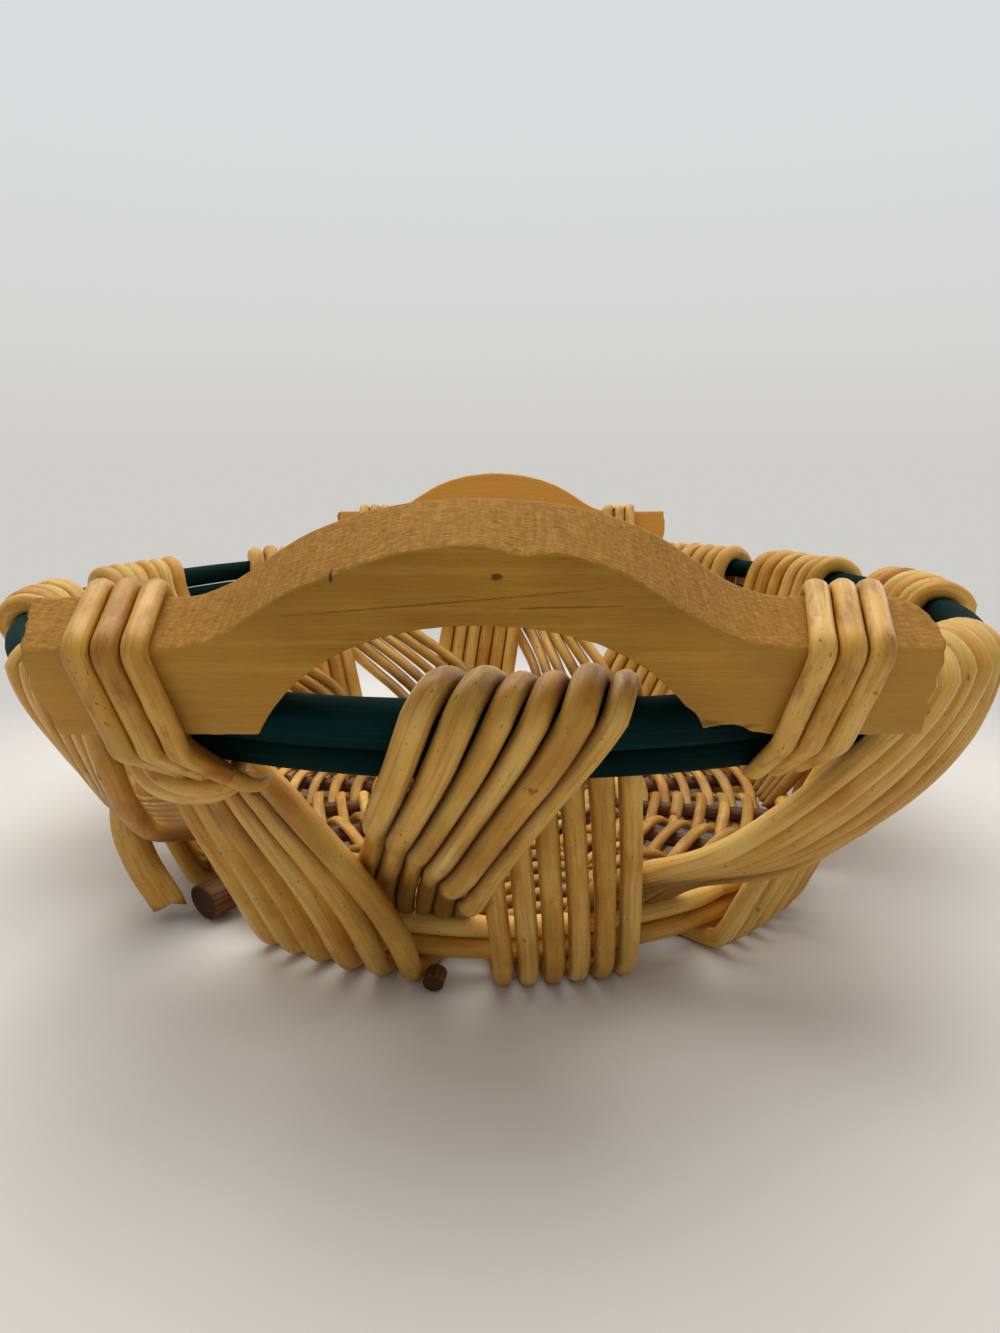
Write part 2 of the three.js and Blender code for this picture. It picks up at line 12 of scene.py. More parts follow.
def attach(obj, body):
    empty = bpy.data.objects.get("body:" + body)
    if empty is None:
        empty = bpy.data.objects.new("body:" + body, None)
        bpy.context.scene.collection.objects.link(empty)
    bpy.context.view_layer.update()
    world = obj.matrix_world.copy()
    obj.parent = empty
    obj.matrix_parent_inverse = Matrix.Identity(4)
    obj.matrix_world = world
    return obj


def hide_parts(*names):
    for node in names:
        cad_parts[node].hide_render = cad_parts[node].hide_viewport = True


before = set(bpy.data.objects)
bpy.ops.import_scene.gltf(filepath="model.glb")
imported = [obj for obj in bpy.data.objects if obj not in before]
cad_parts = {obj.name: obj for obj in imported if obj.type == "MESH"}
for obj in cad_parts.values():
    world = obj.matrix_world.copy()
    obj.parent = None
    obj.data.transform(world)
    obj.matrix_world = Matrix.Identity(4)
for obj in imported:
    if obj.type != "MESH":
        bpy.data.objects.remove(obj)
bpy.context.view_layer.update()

bl_info = {
    "name": "Willow basket",
    "version": (1, 0, 0),
    "blender": (4, 5, 0),
    "location": "View3D > Sidebar > Basket",
    "description": "Builds a willow centerpiece basket, piece by piece",
    "category": "Add Mesh",
}

MM = 0.001


def linear(hex_colour):
    """An sRGB hex colour as linear red, green and blue."""
    values = [int(hex_colour[k:k + 2], 16) / 255 for k in (1, 3, 5)]
    return [v / 12.92 if v <= 0.04045 else ((v + 0.055) / 1.055) ** 2.4 for v in values]


# Where the random numbers of each group of pieces start
SEEDS = {"hoops": 11, "border": 31, "sticks": 51, "weave": 71, "stakes": 200,
         "loose_end": 290, "handles": 400, "lashings": 600}

# Clearances and layers
GAP = 0.3 * MM
LAYER_GAP = 0.7 * MM

# Rim hoops: thick at the front and thin at the back
RIM_RADIUS = 175 * MM
RIM_TOP = 103.2 * MM
UPPER_BUTT, UPPER_TIP = 12.2 * MM, 8.6 * MM
LOWER_BUTT, LOWER_TIP = 8.6 * MM, 5.6 * MM
HOOP_TUCK = 25
HOOP_SPREAD = 4 * MM
HOOP_SPREAD_ANGLE = 30

# Base
BASE_RADIUS = 128.6 * MM
BORDER_ROD = 6.8 * MM
WEAVE_HEIGHT = 13 * MM
WEAVER_PITCH = 4.7 * MM
WEAVER_THICKNESS = 3.3 * MM
WEAVE_ROWS = 16
STICK_DIAMETER = 6 * MM
STICK_SPACING = 6.5 * MM
STICK_COUNT = 4
STICK_FAN = 22.5

# Stakes
STAKE_FOOT = 6.4 * MM
STAKE_TIP = 5.2 * MM
STUB_LENGTH = 18 * MM
STAKES_IN_BAND = 6
# The height where a falling stake no longer bows out, how deep it dives inward, and
# over which angles beyond the first stake of its band it does
BOW_END = 36 * MM
DIVE_DEPTH = 16 * MM
PASS_START, PASS_END = 1.6, 4.6

# The ten bands: angles of their middle at the foot, rim and tuck, the angle from one
# stake to the next there, how far they lean while they cross the rim, how late they
# lean on the way up and down, how much later the last one leans on the way down than
# the first, how far the last one bows out from the wall there, the height where the
# first is inside the next band, and how far inside the others they pass the hoops
BANDS = [
    ("a", -80.8, 3.4, -87.3, 2.7, -102, 2.8, 4, 1, 1.3, -0.4, 0, 55, 0),
    ("b", -46, 3.8, -44.5, 3.2, -70.5, 2.8, 4, 1, 1.3, 0.8, 7, 36, 0),
    ("c", -9, 3.6, 1, 2.9, -33, 3.4, 3, 1, 1.6, -0.4, 0, 62, 0),
    ("d", 26, 3.6, 28.5, 2.7, 2, 3.2, 3, 1, 2, -0.4, 0, 62, 0),
    ("e", 62, 3.4, 50, 2.6, 36.5, 3.2, 2, 1, 1.95, -0.4, 0, 62, 0),
    ("f", 98, 3.4, 90, 2.7, 70, 3.2, 4, 1, 1.6, -0.4, 0, 62, 0),
    ("g", 134, 3.6, 131, 3, 105, 3.2, 4, 1, 1.6, -0.4, 0, 62, 0),
    ("h", 169, 3.6, 164, 3, 139, 3.2, 4, 1, 1.6, -0.4, 0, 62, 0),
    ("i", 201, 3.4, 191, 2.9, 174, 3, 4, 0.8, 2, -0.4, 0, 62, 0),
    ("j", 246.1, 4.8, 232.2, 2.4, 204, 3.2, 4, 1.7, 3.6, -1.2, 5, 26, 4.5),
]
BAND_FIELDS = ("name", "foot", "foot_step", "rim", "rim_step", "tuck", "tuck_step",
               "cross", "late_up", "late_down", "fan", "bow", "dive", "inset")
# How thick each stake of the band under the near handle is, against the others
NEAR_THICKNESS = [1.08, 1.09, 0.92, 0.93, 1.14, 0.88]

# How high the first stake of a band is tucked in, in millimetres
TUCK_HIGH = {"a": 31, "b": 28, "j": 24}
USUAL_TUCK_HIGH = 38
# How thick the stakes of a band are at their tips, against the others
TIP_THICKNESS = {"a": 1.22, "b": 1.2, "j": 1.2}
# How thick the stakes of a band are above the foot, against the others
FOOT_THICKNESS = {"c": 1.1, "d": 1.18, "e": 1.22, "f": 1.22, "g": 1.2, "h": 1.15, "j": 1.2}
# How dark the wood is of each stake of the bands nearest the front
TONES = {"a": [0.45, 0.3, 0.6, 0.4, 0.55, 0.3], "b": [0.0, 0.25, 0.5, 0.35, 0.6, 0.45]}

# Handles
HANDLE_LEFT, HANDLE_RIGHT = 93 * MM, 94.5 * MM
HANDLE_THICKNESS = 21.8 * MM
HANDLE_END = 22.4 * MM
HANDLE_RISE = 23.3 * MM
HANDLE_SHOULDER = 62 * MM
ARCH_HALF, ARCH_HEIGHT = 48 * MM, 27.8 * MM
HANDLE_LEAN = math.radians(22.3)
HANDLE_OUT = RIM_RADIUS + 8.9 * MM
HANDLES = (("front", -90, -3.7 * MM), ("back", 90, -1.3 * MM))

# Lashings
LASH_TURNS = 3
LASH_PITCH = 6 * MM
LASH_OFFSET = {"front": 78 * MM, "back": 72.5 * MM}


class BasketSizes(bpy.types.PropertyGroup):
    """Sizes of the basket's rods that can be changed without moving its frame."""
    stake_rim: FloatProperty(
        name="Stake at the rim", description="Thickness of a stake where it loops over the rim",
        default=7.3 * MM, min=5 * MM, max=9 * MM, unit="LENGTH")
    lashing_width: FloatProperty(
        name="Lashing width", description="Width of the willow rod of a lashing",
        default=5.4 * MM, min=3 * MM, max=8 * MM, unit="LENGTH")
    lashing_thickness: FloatProperty(
        name="Lashing thickness", description="How far a lashing stands out from the handle",
        default=4.2 * MM, min=2 * MM, max=6 * MM, unit="LENGTH")
    weaver_width: FloatProperty(
        name="Weaver width", description="Width of a base weaver, seen from above",
        default=4.7 * MM, min=3 * MM, max=7 * MM, unit="LENGTH")
    scar_spacing: FloatProperty(
        name="Bud scar spacing", description="Distance from one bud scar to the next on a rod",
        default=46 * MM, min=15 * MM, max=120 * MM, unit="LENGTH")
    ring_spacing: FloatProperty(
        name="Mesh step", description="Distance between the rings of a rod's mesh",
        default=2.2 * MM, min=1 * MM, max=6 * MM, unit="LENGTH")
    rod_sides: IntProperty(
        name="Rod sides", description="Number of faces round a stake", default=14, min=8, max=32)


def colour_property(name, description, hex_colour):
    """A colour that starts as an sRGB hex colour."""
    return FloatVectorProperty(name=name, description=description, subtype="COLOR",
                               size=3, min=0, max=1, default=linear(hex_colour))


class BasketColours(bpy.types.PropertyGroup):
    """Colours of the basket's materials and of the stage."""
    straw: colour_property("Straw", "The palest wood of a varnished rod", "#E8BF6B")
    tan: colour_property("Tan", "The usual colour of a varnished rod", "#CE9A40")
    honey: colour_property("Honey", "Where the buff stain took more", "#A2661E")
    scar: colour_property("Scar", "Bud scars and bruises", "#4A2B0D")
    teal: colour_property("Teal", "The stain on the rim hoops", "#042321")
    lime: colour_property("Limewood", "The sawn and varnished handles", "#AC7B2B")
    brown: colour_property("Brown willow", "The steamed base sticks", "#6E4527")
    floor: colour_property("Floor", "The table top", "#DAD8D2")
    wall: colour_property("Wall", "The backdrop", "#DBDCDD")


# ---------------------------------------------------------------- geometry

def polar(angle, radius, height):
    """Points from their angles round the basket, distances from the middle and heights."""
    a = np.radians(angle)
    return np.stack(np.broadcast_arrays(radius * np.cos(a), radius * np.sin(a), height), -1)


def smooth(value, low, high):
    """From 0 below low to 1 above high, easing in and out."""
    share = np.clip((value - low) / (high - low), 0, 1)
    return share * share * (3 - 2 * share)


def lerp(a, b, share):
    """The value at a share of the way from a to b."""
    return a + (b - a) * share


def unit(vectors):
    """The same directions, one metre long."""
    return vectors / np.maximum(np.linalg.norm(vectors, axis=-1, keepdims=True), 1e-12)


def hoop_thickness(angle, butt, tip):
    """Radius of a hoop's rod: thick at the front and thin at the back."""
    return lerp(butt, tip, (1 - np.cos(np.radians(angle + 90))) / 2) / 2


def upper_hoop(angle):
    """Radius of the rod, and distance from the middle and height of its middle line."""
    r = hoop_thickness(angle, UPPER_BUTT, UPPER_TIP)
    return r, RIM_RADIUS + 0 * r, RIM_TOP - r


def lower_hoop(angle):
    """The same for the lower hoop, which is tucked in under the upper one."""
    r = hoop_thickness(angle, LOWER_BUTT, LOWER_TIP)
    above_r, above_out, above_z = upper_hoop(angle)
    near = (1 + np.cos(np.radians(angle - HOOP_SPREAD_ANGLE))) / 2
    apart = above_r + r + GAP + HOOP_SPREAD * near * near
    tuck = math.radians(HOOP_TUCK)
    return r, above_out - apart * math.sin(tuck), above_z - apart * math.cos(tuck)


FOOT_HEIGHT = STAKE_FOOT * 0.433
FOOT_TOP = FOOT_HEIGHT + STAKE_FOOT / 2
BORDER_RADIUS = BASE_RADIUS - STAKE_FOOT * 0.85 - GAP - BORDER_ROD / 2
BORDER_LOW = FOOT_TOP + GAP + BORDER_ROD / 2
BORDER_HIGH = BORDER_LOW + BORDER_ROD + GAP
BORDER_TOP = BORDER_HIGH + BORDER_ROD / 2
WEAVE_LOW = FOOT_TOP + GAP
WEAVE_RADIUS = BORDER_RADIUS - BORDER_ROD / 2 - GAP
SPOKE_HEIGHT = WEAVE_LOW + WEAVE_HEIGHT / 2
WALL_FOOT_RADIUS = BASE_RADIUS + STAKE_FOOT * 0.1
WALL_FOOT_HEIGHT = FOOT_HEIGHT + STAKE_FOOT * 0.75
STAKE_NOMINAL = 6.9 * MM
WALL_TOP_RADIUS = lower_hoop(-90)[1] - lower_hoop(-90)[0] - STAKE_NOMINAL / 2 - LAYER_GAP
WALL_TOP_HEIGHT = lower_hoop(-90)[2]
LAYER = STAKE_NOMINAL + LAYER_GAP


def wall_share(height):
    """How far up the wall's slope a height is, from 0 to 1."""
    return (height - WALL_FOOT_HEIGHT) / (WALL_TOP_HEIGHT - WALL_FOOT_HEIGHT)


def wall_radius(height):
    """How far from the middle the wall is at a height."""
    return lerp(WALL_FOOT_RADIUS, WALL_TOP_RADIUS, wall_share(height))


def distances(points):
    """How far along a line each of its points is."""
    return np.concatenate([[0], np.cumsum(np.linalg.norm(np.diff(points, axis=0), axis=1))])


def resample(points, step):
    """The same line with points a step apart, and the distance of each along it."""
    points = np.asarray(points, float)
    along = distances(points)
    places = np.linspace(0, along[-1], max(3, int(round(along[-1] / step)) + 1))
    return np.stack([np.interp(places, along, points[:, k]) for k in range(3)], 1), places


def relax(points, rounds):
    """Rounds the corners of a line of evenly spaced points, with its ends kept."""
    points = points.copy()
    for _ in range(rounds):
        points[1:-1] = (points[:-2] + 2 * points[1:-1] + points[2:]) / 4
    return points


# What a rod's points carry for its material, besides their places in its wood; the last is
# painted shade, darker where rods touch
MARKS = ("scar", "cut", "tone", "aged", "crevice_shade")
# Bud scars: their reach across and along the rod, the reach of the collar round the rod
# there, how far both stand out, and how far round the rod the next bud sits
SCAR_ACROSS, SCAR_ALONG, COLLAR_ALONG = 0.8 * MM, 1.1 * MM, 2.6 * MM
SCAR_RISE, COLLAR_RISE = 0.25 * MM, 0.12 * MM
BUD_TURN = math.radians(137)
# Cut ends: their inner ring against the rod, and how far it and the middle stand out
CUT_RING, CUT_RISE, CUT_MIDDLE_RISE = 0.86, 0.12 * MM, 0.05 * MM
# How far apart the wood of two rods can lie in the figures, in metres
WOOD_APART = 40
# How dark the painted shade is where rods touch
CREVICE_SHADE = 0.92
# Straight up, and a direction that no rod runs in
UP = np.array([0.0, 0.0, 1.0])
ANY_WAY = (0.31, 0.17, 0.93)


class Skin:
    """Gathers tubes into one mesh, with each point's place in its own rod's wood."""

    def __init__(self):
        self.verts, self.faces, self.flat_faces = [], [], []
        self.marks = {key: [] for key in ("rod_space", *MARKS)}

    def add_points(self, points, space, **values):
        """Adds points with their values, and returns the first one's index."""
        base = sum(len(block) for block in self.verts)
        self.verts.append(points.reshape(-1, 3))
        self.marks["rod_space"].append(space.reshape(-1, 3))
        for key in MARKS:
            value = np.broadcast_to(values.get(key, 0.0), points.shape[:-1])
            self.marks[key].append(value.ravel())
        return base

    def add_rings(self, path, axes, size, turn, along, flat=1.0, **values):
        """Adds a tube's rings, and returns them, their places in the wood and their
        points' indices. The axes are the ways that its width and thickness point."""
        across, out = size * np.cos(turn)[None], size * np.sin(turn)[None]
        rings = (path[:, None] + axes[0][:, None] * across[..., None]
                 + axes[1][:, None] * (out * flat)[..., None])
        space = np.stack([across, out, np.broadcast_to(along[:, None], size.shape)], -1)
        base = self.add_points(rings, space, **values)
        return rings, space, base + np.arange(size.size).reshape(size.shape)

    def tube(self, path, radius, rng, sides=12, normals=None, flat=1.0, scars=0.0,
             lumps=0.03, slant=0.0, tone=None, aged=0.0):
        """A rod along a path: radius is a number or one value a point, normals turn its
        thin side out, flat is its thickness against its width, scars is the distance
        from one bud scar to the next, slant is how obliquely its ends are cut, tone is
        how dark its wood is and aged how brown it is, from 0 to 1."""
        count = len(path)
        radius = np.broadcast_to(radius, (count,))
        along = distances(path)
        tangent = unit(np.gradient(path, axis=0))
        if normals is None:
            side = np.zeros((count, 3))
            side[0] = unit(np.cross(tangent[0], ANY_WAY))
            for k in range(1, count):
                side[k] = unit(side[k - 1] - tangent[k] * np.dot(side[k - 1], tangent[k]))
        else:
            side = unit(normals - tangent * np.sum(normals * tangent, axis=1, keepdims=True))
        other = np.cross(tangent, side)
        turn = np.arange(sides) * 2 * math.pi / sides
        phases = rng.uniform(0, 2 * math.pi, 8)
        waves = rng.uniform(0.6, 1.4, 4)
        # The rod wanders, is a little oval, and swells and thins, over millimetres
        wander, oval, swell = 9.5 * MM, 8 * MM, 15.5 * MM
        lump = (np.sin(along[:, None] / wander * waves[0] + phases[0])
                * np.cos(turn[None] + phases[1])
                + 0.7 * np.sin(along[:, None] / oval * waves[1] + phases[2])
                * np.cos(2 * turn[None] + phases[3])
                + 0.5 * np.sin(along[:, None] / swell * waves[2] + phases[4])) / 2
        size = radius[:, None] * (1 + lumps * lump)
        scar = np.zeros((count, sides))
        if scars:
            place, angle = rng.uniform(0.2, 0.9) * scars, rng.uniform(0, 2 * math.pi)
            while place < along[-1]:
                away = (np.angle(np.exp(1j * (turn[None] - angle))) * radius[:, None]) ** 2
                off = (along[:, None] - place) ** 2
                bump = np.exp(-away / SCAR_ACROSS ** 2 - off / SCAR_ALONG ** 2)
                collar = np.exp(-off / COLLAR_ALONG ** 2)
                size = size + bump * SCAR_RISE + collar * COLLAR_RISE
                scar = np.maximum(scar, bump)
                place += scars * rng.uniform(0.55, 1.5)
                angle += BUD_TURN + rng.uniform(-0.4, 0.4)
        offset = rng.uniform(0, WOOD_APART)
        tone = rng.uniform(0, 1) if tone is None else tone
        aged = np.broadcast_to(aged, (count,))[:, None]
        rings, space, index = self.add_rings(
            path, (other, side), size, turn, along + offset, flat, scar=scar, tone=tone,
            aged=aged)
        after = np.roll(index, -1, axis=1)
        quads = np.stack([index[:-1], after[:-1], after[1:], index[1:]], -1).reshape(-1, 4)
        self.faces += quads.tolist()
        for end, way in ((0, -1), (-1, 1)):
            self.cap(rings[end], index[end], tangent[end] * way, way,
                     slant * radius[end] * np.cos(turn), space[end], tone)

    def cap(self, ring_points, ring, direction, way, slant, space, tone):
        """Closes an end with a cut face: a ring just inside its edge, and its middle."""
        middle = ring_points.mean(0)
        inner = (middle + (ring_points - middle) * CUT_RING
                 + direction * (slant * CUT_RING + CUT_RISE)[:, None])
        points = np.vstack([inner, middle + direction * CUT_MIDDLE_RISE])
        places = np.vstack([space * [CUT_RING, CUT_RING, 1], space.mean(0)])
        base = self.add_points(points, places, cut=1.0, tone=tone)
        sides = len(ring)
        for k in range(sides):
            n = (k + 1) % sides
            self.faces.append([int(ring[k]), int(ring[n]), base + n, base + k][::way])
            self.flat_faces.append([base + k, base + n, base + sides][::way])

    def paint_crevice_shade(self, others, reach, least):
        """Paints shade on the points near other rods: others are (middle line's points, radii).
        The first points get painted shade at least as dark as least says."""
        lines = np.vstack([line for line, _ in others])
        radii = np.concatenate([radius for _, radius in others])
        tree = KDTree(len(lines))
        for k, point in enumerate(lines):
            tree.insert(point, k)
        tree.balance()
        dark = np.array([
            max([1 - (away - radii[k]) / reach for _, k, away in tree.find_n(point, 3)] + [0])
            for point in np.vstack(self.verts)]).clip(0, 1) * CREVICE_SHADE
        dark[:len(least)] = np.maximum(dark[:len(least)], least)
        self.marks["crevice_shade"] = [dark]

    def piece(self, name, material, slot, *nodes):
        """The mesh as an object that stands for the frame's nodes."""
        verts = np.vstack(self.verts)
        # Rods that rest on the table are worn flat there
        verts[:, 2] = np.maximum(verts[:, 2], 0)
        marks = {key: np.concatenate(values) for key, values in self.marks.items()}
        place_piece(name, verts, self.faces, self.flat_faces, marks, material, slot, *nodes)


def place_piece(name, verts, faces, flat_faces, marks, material, slot, *nodes):
    """A mesh, and what its points carry, as an object that stands for the nodes."""
    mesh = bpy.data.meshes.new(name)
    mesh.from_pydata(verts.tolist(), [], faces + flat_faces)
    mesh.polygons.foreach_set("use_smooth", [True] * len(faces) + [False] * len(flat_faces))
    for key, values in marks.items():
        kind, field = ("FLOAT_VECTOR", "vector") if values.ndim > 1 else ("FLOAT", "value")
        mesh.attributes.new(key, kind, "POINT").data.foreach_set(field, values.ravel())
    mesh.materials.append(material)
    mesh.validate()
    mesh.update()
    obj = bpy.data.objects.new(name, mesh)
    bpy.context.scene.collection.objects.link(obj)
    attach(obj, "root")
    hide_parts(*nodes)


# ---------------------------------------------------------------- materials

def with_alpha(colour):
    """A hex colour, red, green and blue, or one number for a grey, with its alpha."""
    colour = linear(colour) if isinstance(colour, str) else colour
    return (*np.broadcast_to(np.asarray(colour, float), 3), 1)


def add_node(tree, kind, inputs=None, stops=(), **settings):
    """Adds a node with its settings, its inputs' values or links, and a ramp's stops."""
    made = tree.nodes.new(kind)
    for key, value in settings.items():
        setattr(made, key, value)
    for key, value in (inputs or {}).items():
        socket = made.inputs[key]
        if isinstance(value, bpy.types.NodeSocket):
            tree.links.new(value, socket)
        else:
            socket.default_value = with_alpha(value) if socket.type == "RGBA" else value
    for k, (place, colour) in enumerate(stops):
        elements = made.color_ramp.elements
        element = elements.new(place) if k else elements[0]
        if not k:
            elements.remove(elements[-1])
        element.position = place
        element.color = with_alpha(colour)
    return made


def make_material(name, build, *values):
    """The material of that name, built in an empty node tree when it is new."""
    material = bpy.data.materials.get(name)
    if not material:
        material = bpy.data.materials.new(name)
        material.use_nodes = True
        material.node_tree.nodes.clear()
        build(material.node_tree, *values)
    return material


def wood_figures(tree, attribute, figures):
    """Noise figures of a real size in a wood's own axes: each has its lengths along
    them in millimetres, its detail and its roughness."""
    place = add_node(tree, "ShaderNodeAttribute", attribute_name=attribute).outputs["Vector"]
    made = {"place": place}
    for key, (lengths, detail, roughness) in figures.items():
        scale = tuple(1 / (length * MM) for length in lengths)
        scaled = add_node(tree, "ShaderNodeMapping", {"Vector": place, "Scale": scale})
        made[key] = add_node(tree, "ShaderNodeTexNoise", {
            "Vector": scaled.outputs["Vector"], "Scale": 1.0, "Detail": detail,
            "Roughness": roughness}).outputs["Fac"]
    return made


def finish_wood(tree, body, layers, relief, surface):
    """Lays other colours over a body's colour, each by its own share, and makes the
    surface, whose relief is (height, strength, depth)."""
    for share, colour in layers:
        body = add_node(tree, "ShaderNodeMix", {"Factor": share, "A": body, "B": colour},
                        data_type="RGBA").outputs["Result"]
    bump = add_node(tree, "ShaderNodeBump", dict(zip(("Height", "Strength", "Distance"), relief)))
    shader = add_node(tree, "ShaderNodeBsdfPrincipled", {
        "Base Color": body, "Normal": bump.outputs["Normal"], **surface})
    add_node(tree, "ShaderNodeOutputMaterial", {"Surface": shader.outputs["BSDF"]})


# How pale each kind of willow is, and how rough its varnish
WILLOWS = {"buff_willow_rod": (0.2, 0.42), "buff_willow_weaver": (0.2, 0.46),
           "buff_willow_lashing": (0.4, 0.36)}


def willow_material(name, colours):
    """One of the kinds of willow."""
    return make_material(name, buff_willow, colours, *WILLOWS[name])


def buff_willow(tree, colours, pale, rough):
    """Buff willow rods, peeled, boiled and varnished: a soft gloss over straw to honey
    wood, fine fibres along the rod, brown bud scars, specks and small bruises."""
    figure = wood_figures(tree, "rod_space", {
        "fibres": ((0.9, 0.9, 26), 3.0, 0.5),
        "blotches": ((8, 8, 24), 3.0, 0.55),
        "specks": ((0.7, 0.7, 1.3), 1.0, 0.5),
        "strewn": ((6, 6, 14), 1.0, 0.5),
        "bruises": ((3.2, 3.2, 9), 3.0, 0.65),
        "olive": ((14, 14, 60), 1.0, 0.5)})
    at = {key: add_node(tree, "ShaderNodeAttribute", attribute_name=key).outputs["Fac"]
          for key in MARKS}
    total = {key: add_node(tree, "ShaderNodeMath", {0: first, 1: weight, 2: second},
                           operation="MULTIPLY_ADD").outputs[0]
             for key, first, weight, second in (
                 # Each rod has its own tone, and wanders from straw to honey along it
                 ("tone", at["tone"], 0.3, figure["blotches"]),
                 # Brown wood where the rod was bent hardest, with warm bruises in it
                 ("worn", at["aged"], 1.0, figure["bruises"]),
                 # The small dark specks are strewn unevenly
                 ("speck", figure["strewn"], 0.22, figure["specks"]),
                 ("bud", figure["specks"], 0.5, at["scar"]),
                 ("height", figure["fibres"], 0.6, figure["bruises"]))}
    share = {key: add_node(tree, "ShaderNodeValToRGB", {"Fac": value}, stops).outputs["Color"]
             for key, value, stops in (
                 ("body", total["tone"], ((0.36 - pale * 0.06, colours.straw),
                                          (0.66 + pale * 0.14, colours.tan),
                                          (1.0, colours.honey))),
                 ("streak", figure["fibres"], ((0.34, 0.42), (0.5, 0))),
                 ("olive", figure["olive"], ((0.54, 0), (0.7, 0.5))),
                 ("worn", total["worn"], ((0.64, 0), (0.82, 0.5), (1.0, 0.62))),
                 ("speck", total["speck"], ((0.835, 0), (0.87, 0.75))),
                 ("bud", total["bud"], ((0.66, 0), (0.92, 0.65))),
                 ("gloss", figure["blotches"], ((0.3, rough - 0.05), (0.75, rough + 0.12))))}
    dots = add_node(tree, "ShaderNodeMath", {0: share["speck"], 1: share["bud"]},
                    operation="MAXIMUM").outputs[0]
    finish_wood(tree, share["body"], (
        # Fine darker fibres run along the rod
        (share["streak"], colours.honey),
        # Patches that kept a greenish cast under the bark
        (share["olive"], "#C2AC52"),
        (share["worn"], "#7C4C1C"),
        (dots, colours.scar),
        # Painted shade: dark where rods touch and on stake tips in the dark behind the border
        (at["crevice_shade"], "#4A2606"),
        # Cut ends show duller wood
        (at["cut"], "#A4783A")),
        (total["height"], 0.5, 0.22 * MM),
        {"Roughness": share["gloss"], "IOR": 1.5, "Specular IOR Level": 0.3})


def stained_willow(tree, colours):
    """Willow rods under dark green stain: nearly black in the shade, deep teal where
    they are lit, matt, with the fibres rubbed a little paler."""
    figure = wood_figures(tree, "rod_space", {
        "fibres": ((1.0, 1.0, 38), 4.0, 0.5),
        "cloud": ((12, 12, 60), 3.0, 0.5)})
    body, rubbed = (
        add_node(tree, "ShaderNodeValToRGB", {"Fac": figure[key]}, stops).outputs["Color"]
        for key, stops in (("cloud", ((0.3, "#011514"), (0.55, colours.teal), (0.8, "#063634"))),
                           ("fibres", ((0.58, 0), (0.8, 0.3)))))
    finish_wood(tree, body, ((rubbed, "#1B4F4A"),), (figure["fibres"], 0.6, 0.25 * MM),
                {"Roughness": 0.78, "IOR": 1.5, "Specular IOR Level": 0.05})


def brown_willow(tree, colours):
    """Willow steamed in its bark: matt brown with darker wrinkles along the stick, and
    dull brown cut ends."""
    bark = wood_figures(tree, "rod_space", {"bark": ((1.4, 1.4, 22), 5.0, 0.5)})["bark"]
    cut = add_node(tree, "ShaderNodeAttribute", attribute_name="cut").outputs["Fac"]
    body = add_node(tree, "ShaderNodeValToRGB", {"Fac": bark}, (
        (0.3, "#2C1A0C"), (0.55, colours.brown), (0.8, "#7E5431"))).outputs["Color"]
    finish_wood(tree, body, ((cut, "#44290F"),), (bark, 0.8, 0.4 * MM),
                {"Roughness": 0.65, "IOR": 1.45, "Specular IOR Level": 0.3})


# Marks on the near handle's outer face: where each lies along it and up, its half
# length and half width in millimetres, its turn in degrees and how dark it is
FACE_MARKS = (
    (3.5, 39.3, 1.5, 0.9, 10, 0.85),
    (-12, 33.0, 29, 0.28, 5.4, 0.5),
    (14, 35.6, 12, 0.22, 6, 0.4),
    (17, 32.5, 15, 0.24, 1.5, 0.6),
    (47, 3.6, 6, 1.0, -4, 0.5),
    (56, 2.4, 4, 0.8, 8, 0.5),
)
GREEN_NICK = (-28.4, 39.7, 0.45, 2.0, 4, 0.9)
# How deep a mark goes into the board in millimetres, how ragged it is, and between
# which distances from its middle, against its size, it fades
MARK_DEPTH, MARK_RAGGED, MARK_EDGE = 3, 1.3, (1.25, 1.75)


def face_marks(tree, figure, spots):
    """How far each place lies inside one of the marks, which have ragged edges."""
    total = 0.0
    for along, up, long, wide, turn, dark in spots:
        own = add_node(tree, "ShaderNodeMapping", {
            "Vector": figure["place"], "Location": (along * MM, up * MM, 0),
            "Rotation": (0, 0, math.radians(turn)),
            "Scale": (long * MM, wide * MM, MARK_DEPTH * MM)}, vector_type="TEXTURE")
        away = add_node(tree, "ShaderNodeVectorMath", {0: own.outputs["Vector"]},
                        operation="LENGTH")
        ragged = add_node(tree, "ShaderNodeMath", {
            0: figure["wobble"], 1: MARK_RAGGED, 2: away.outputs["Value"]},
            operation="MULTIPLY_ADD")
        spot = add_node(tree, "ShaderNodeMapRange", {
            "Value": ragged.outputs[0], "From Min": MARK_EDGE[0], "From Max": MARK_EDGE[1],
            "To Min": dark, "To Max": 0.0})
        total = add_node(tree, "ShaderNodeMath", {0: total, 1: spot.outputs["Result"]},
                         operation="MAXIMUM").outputs[0]
    return total


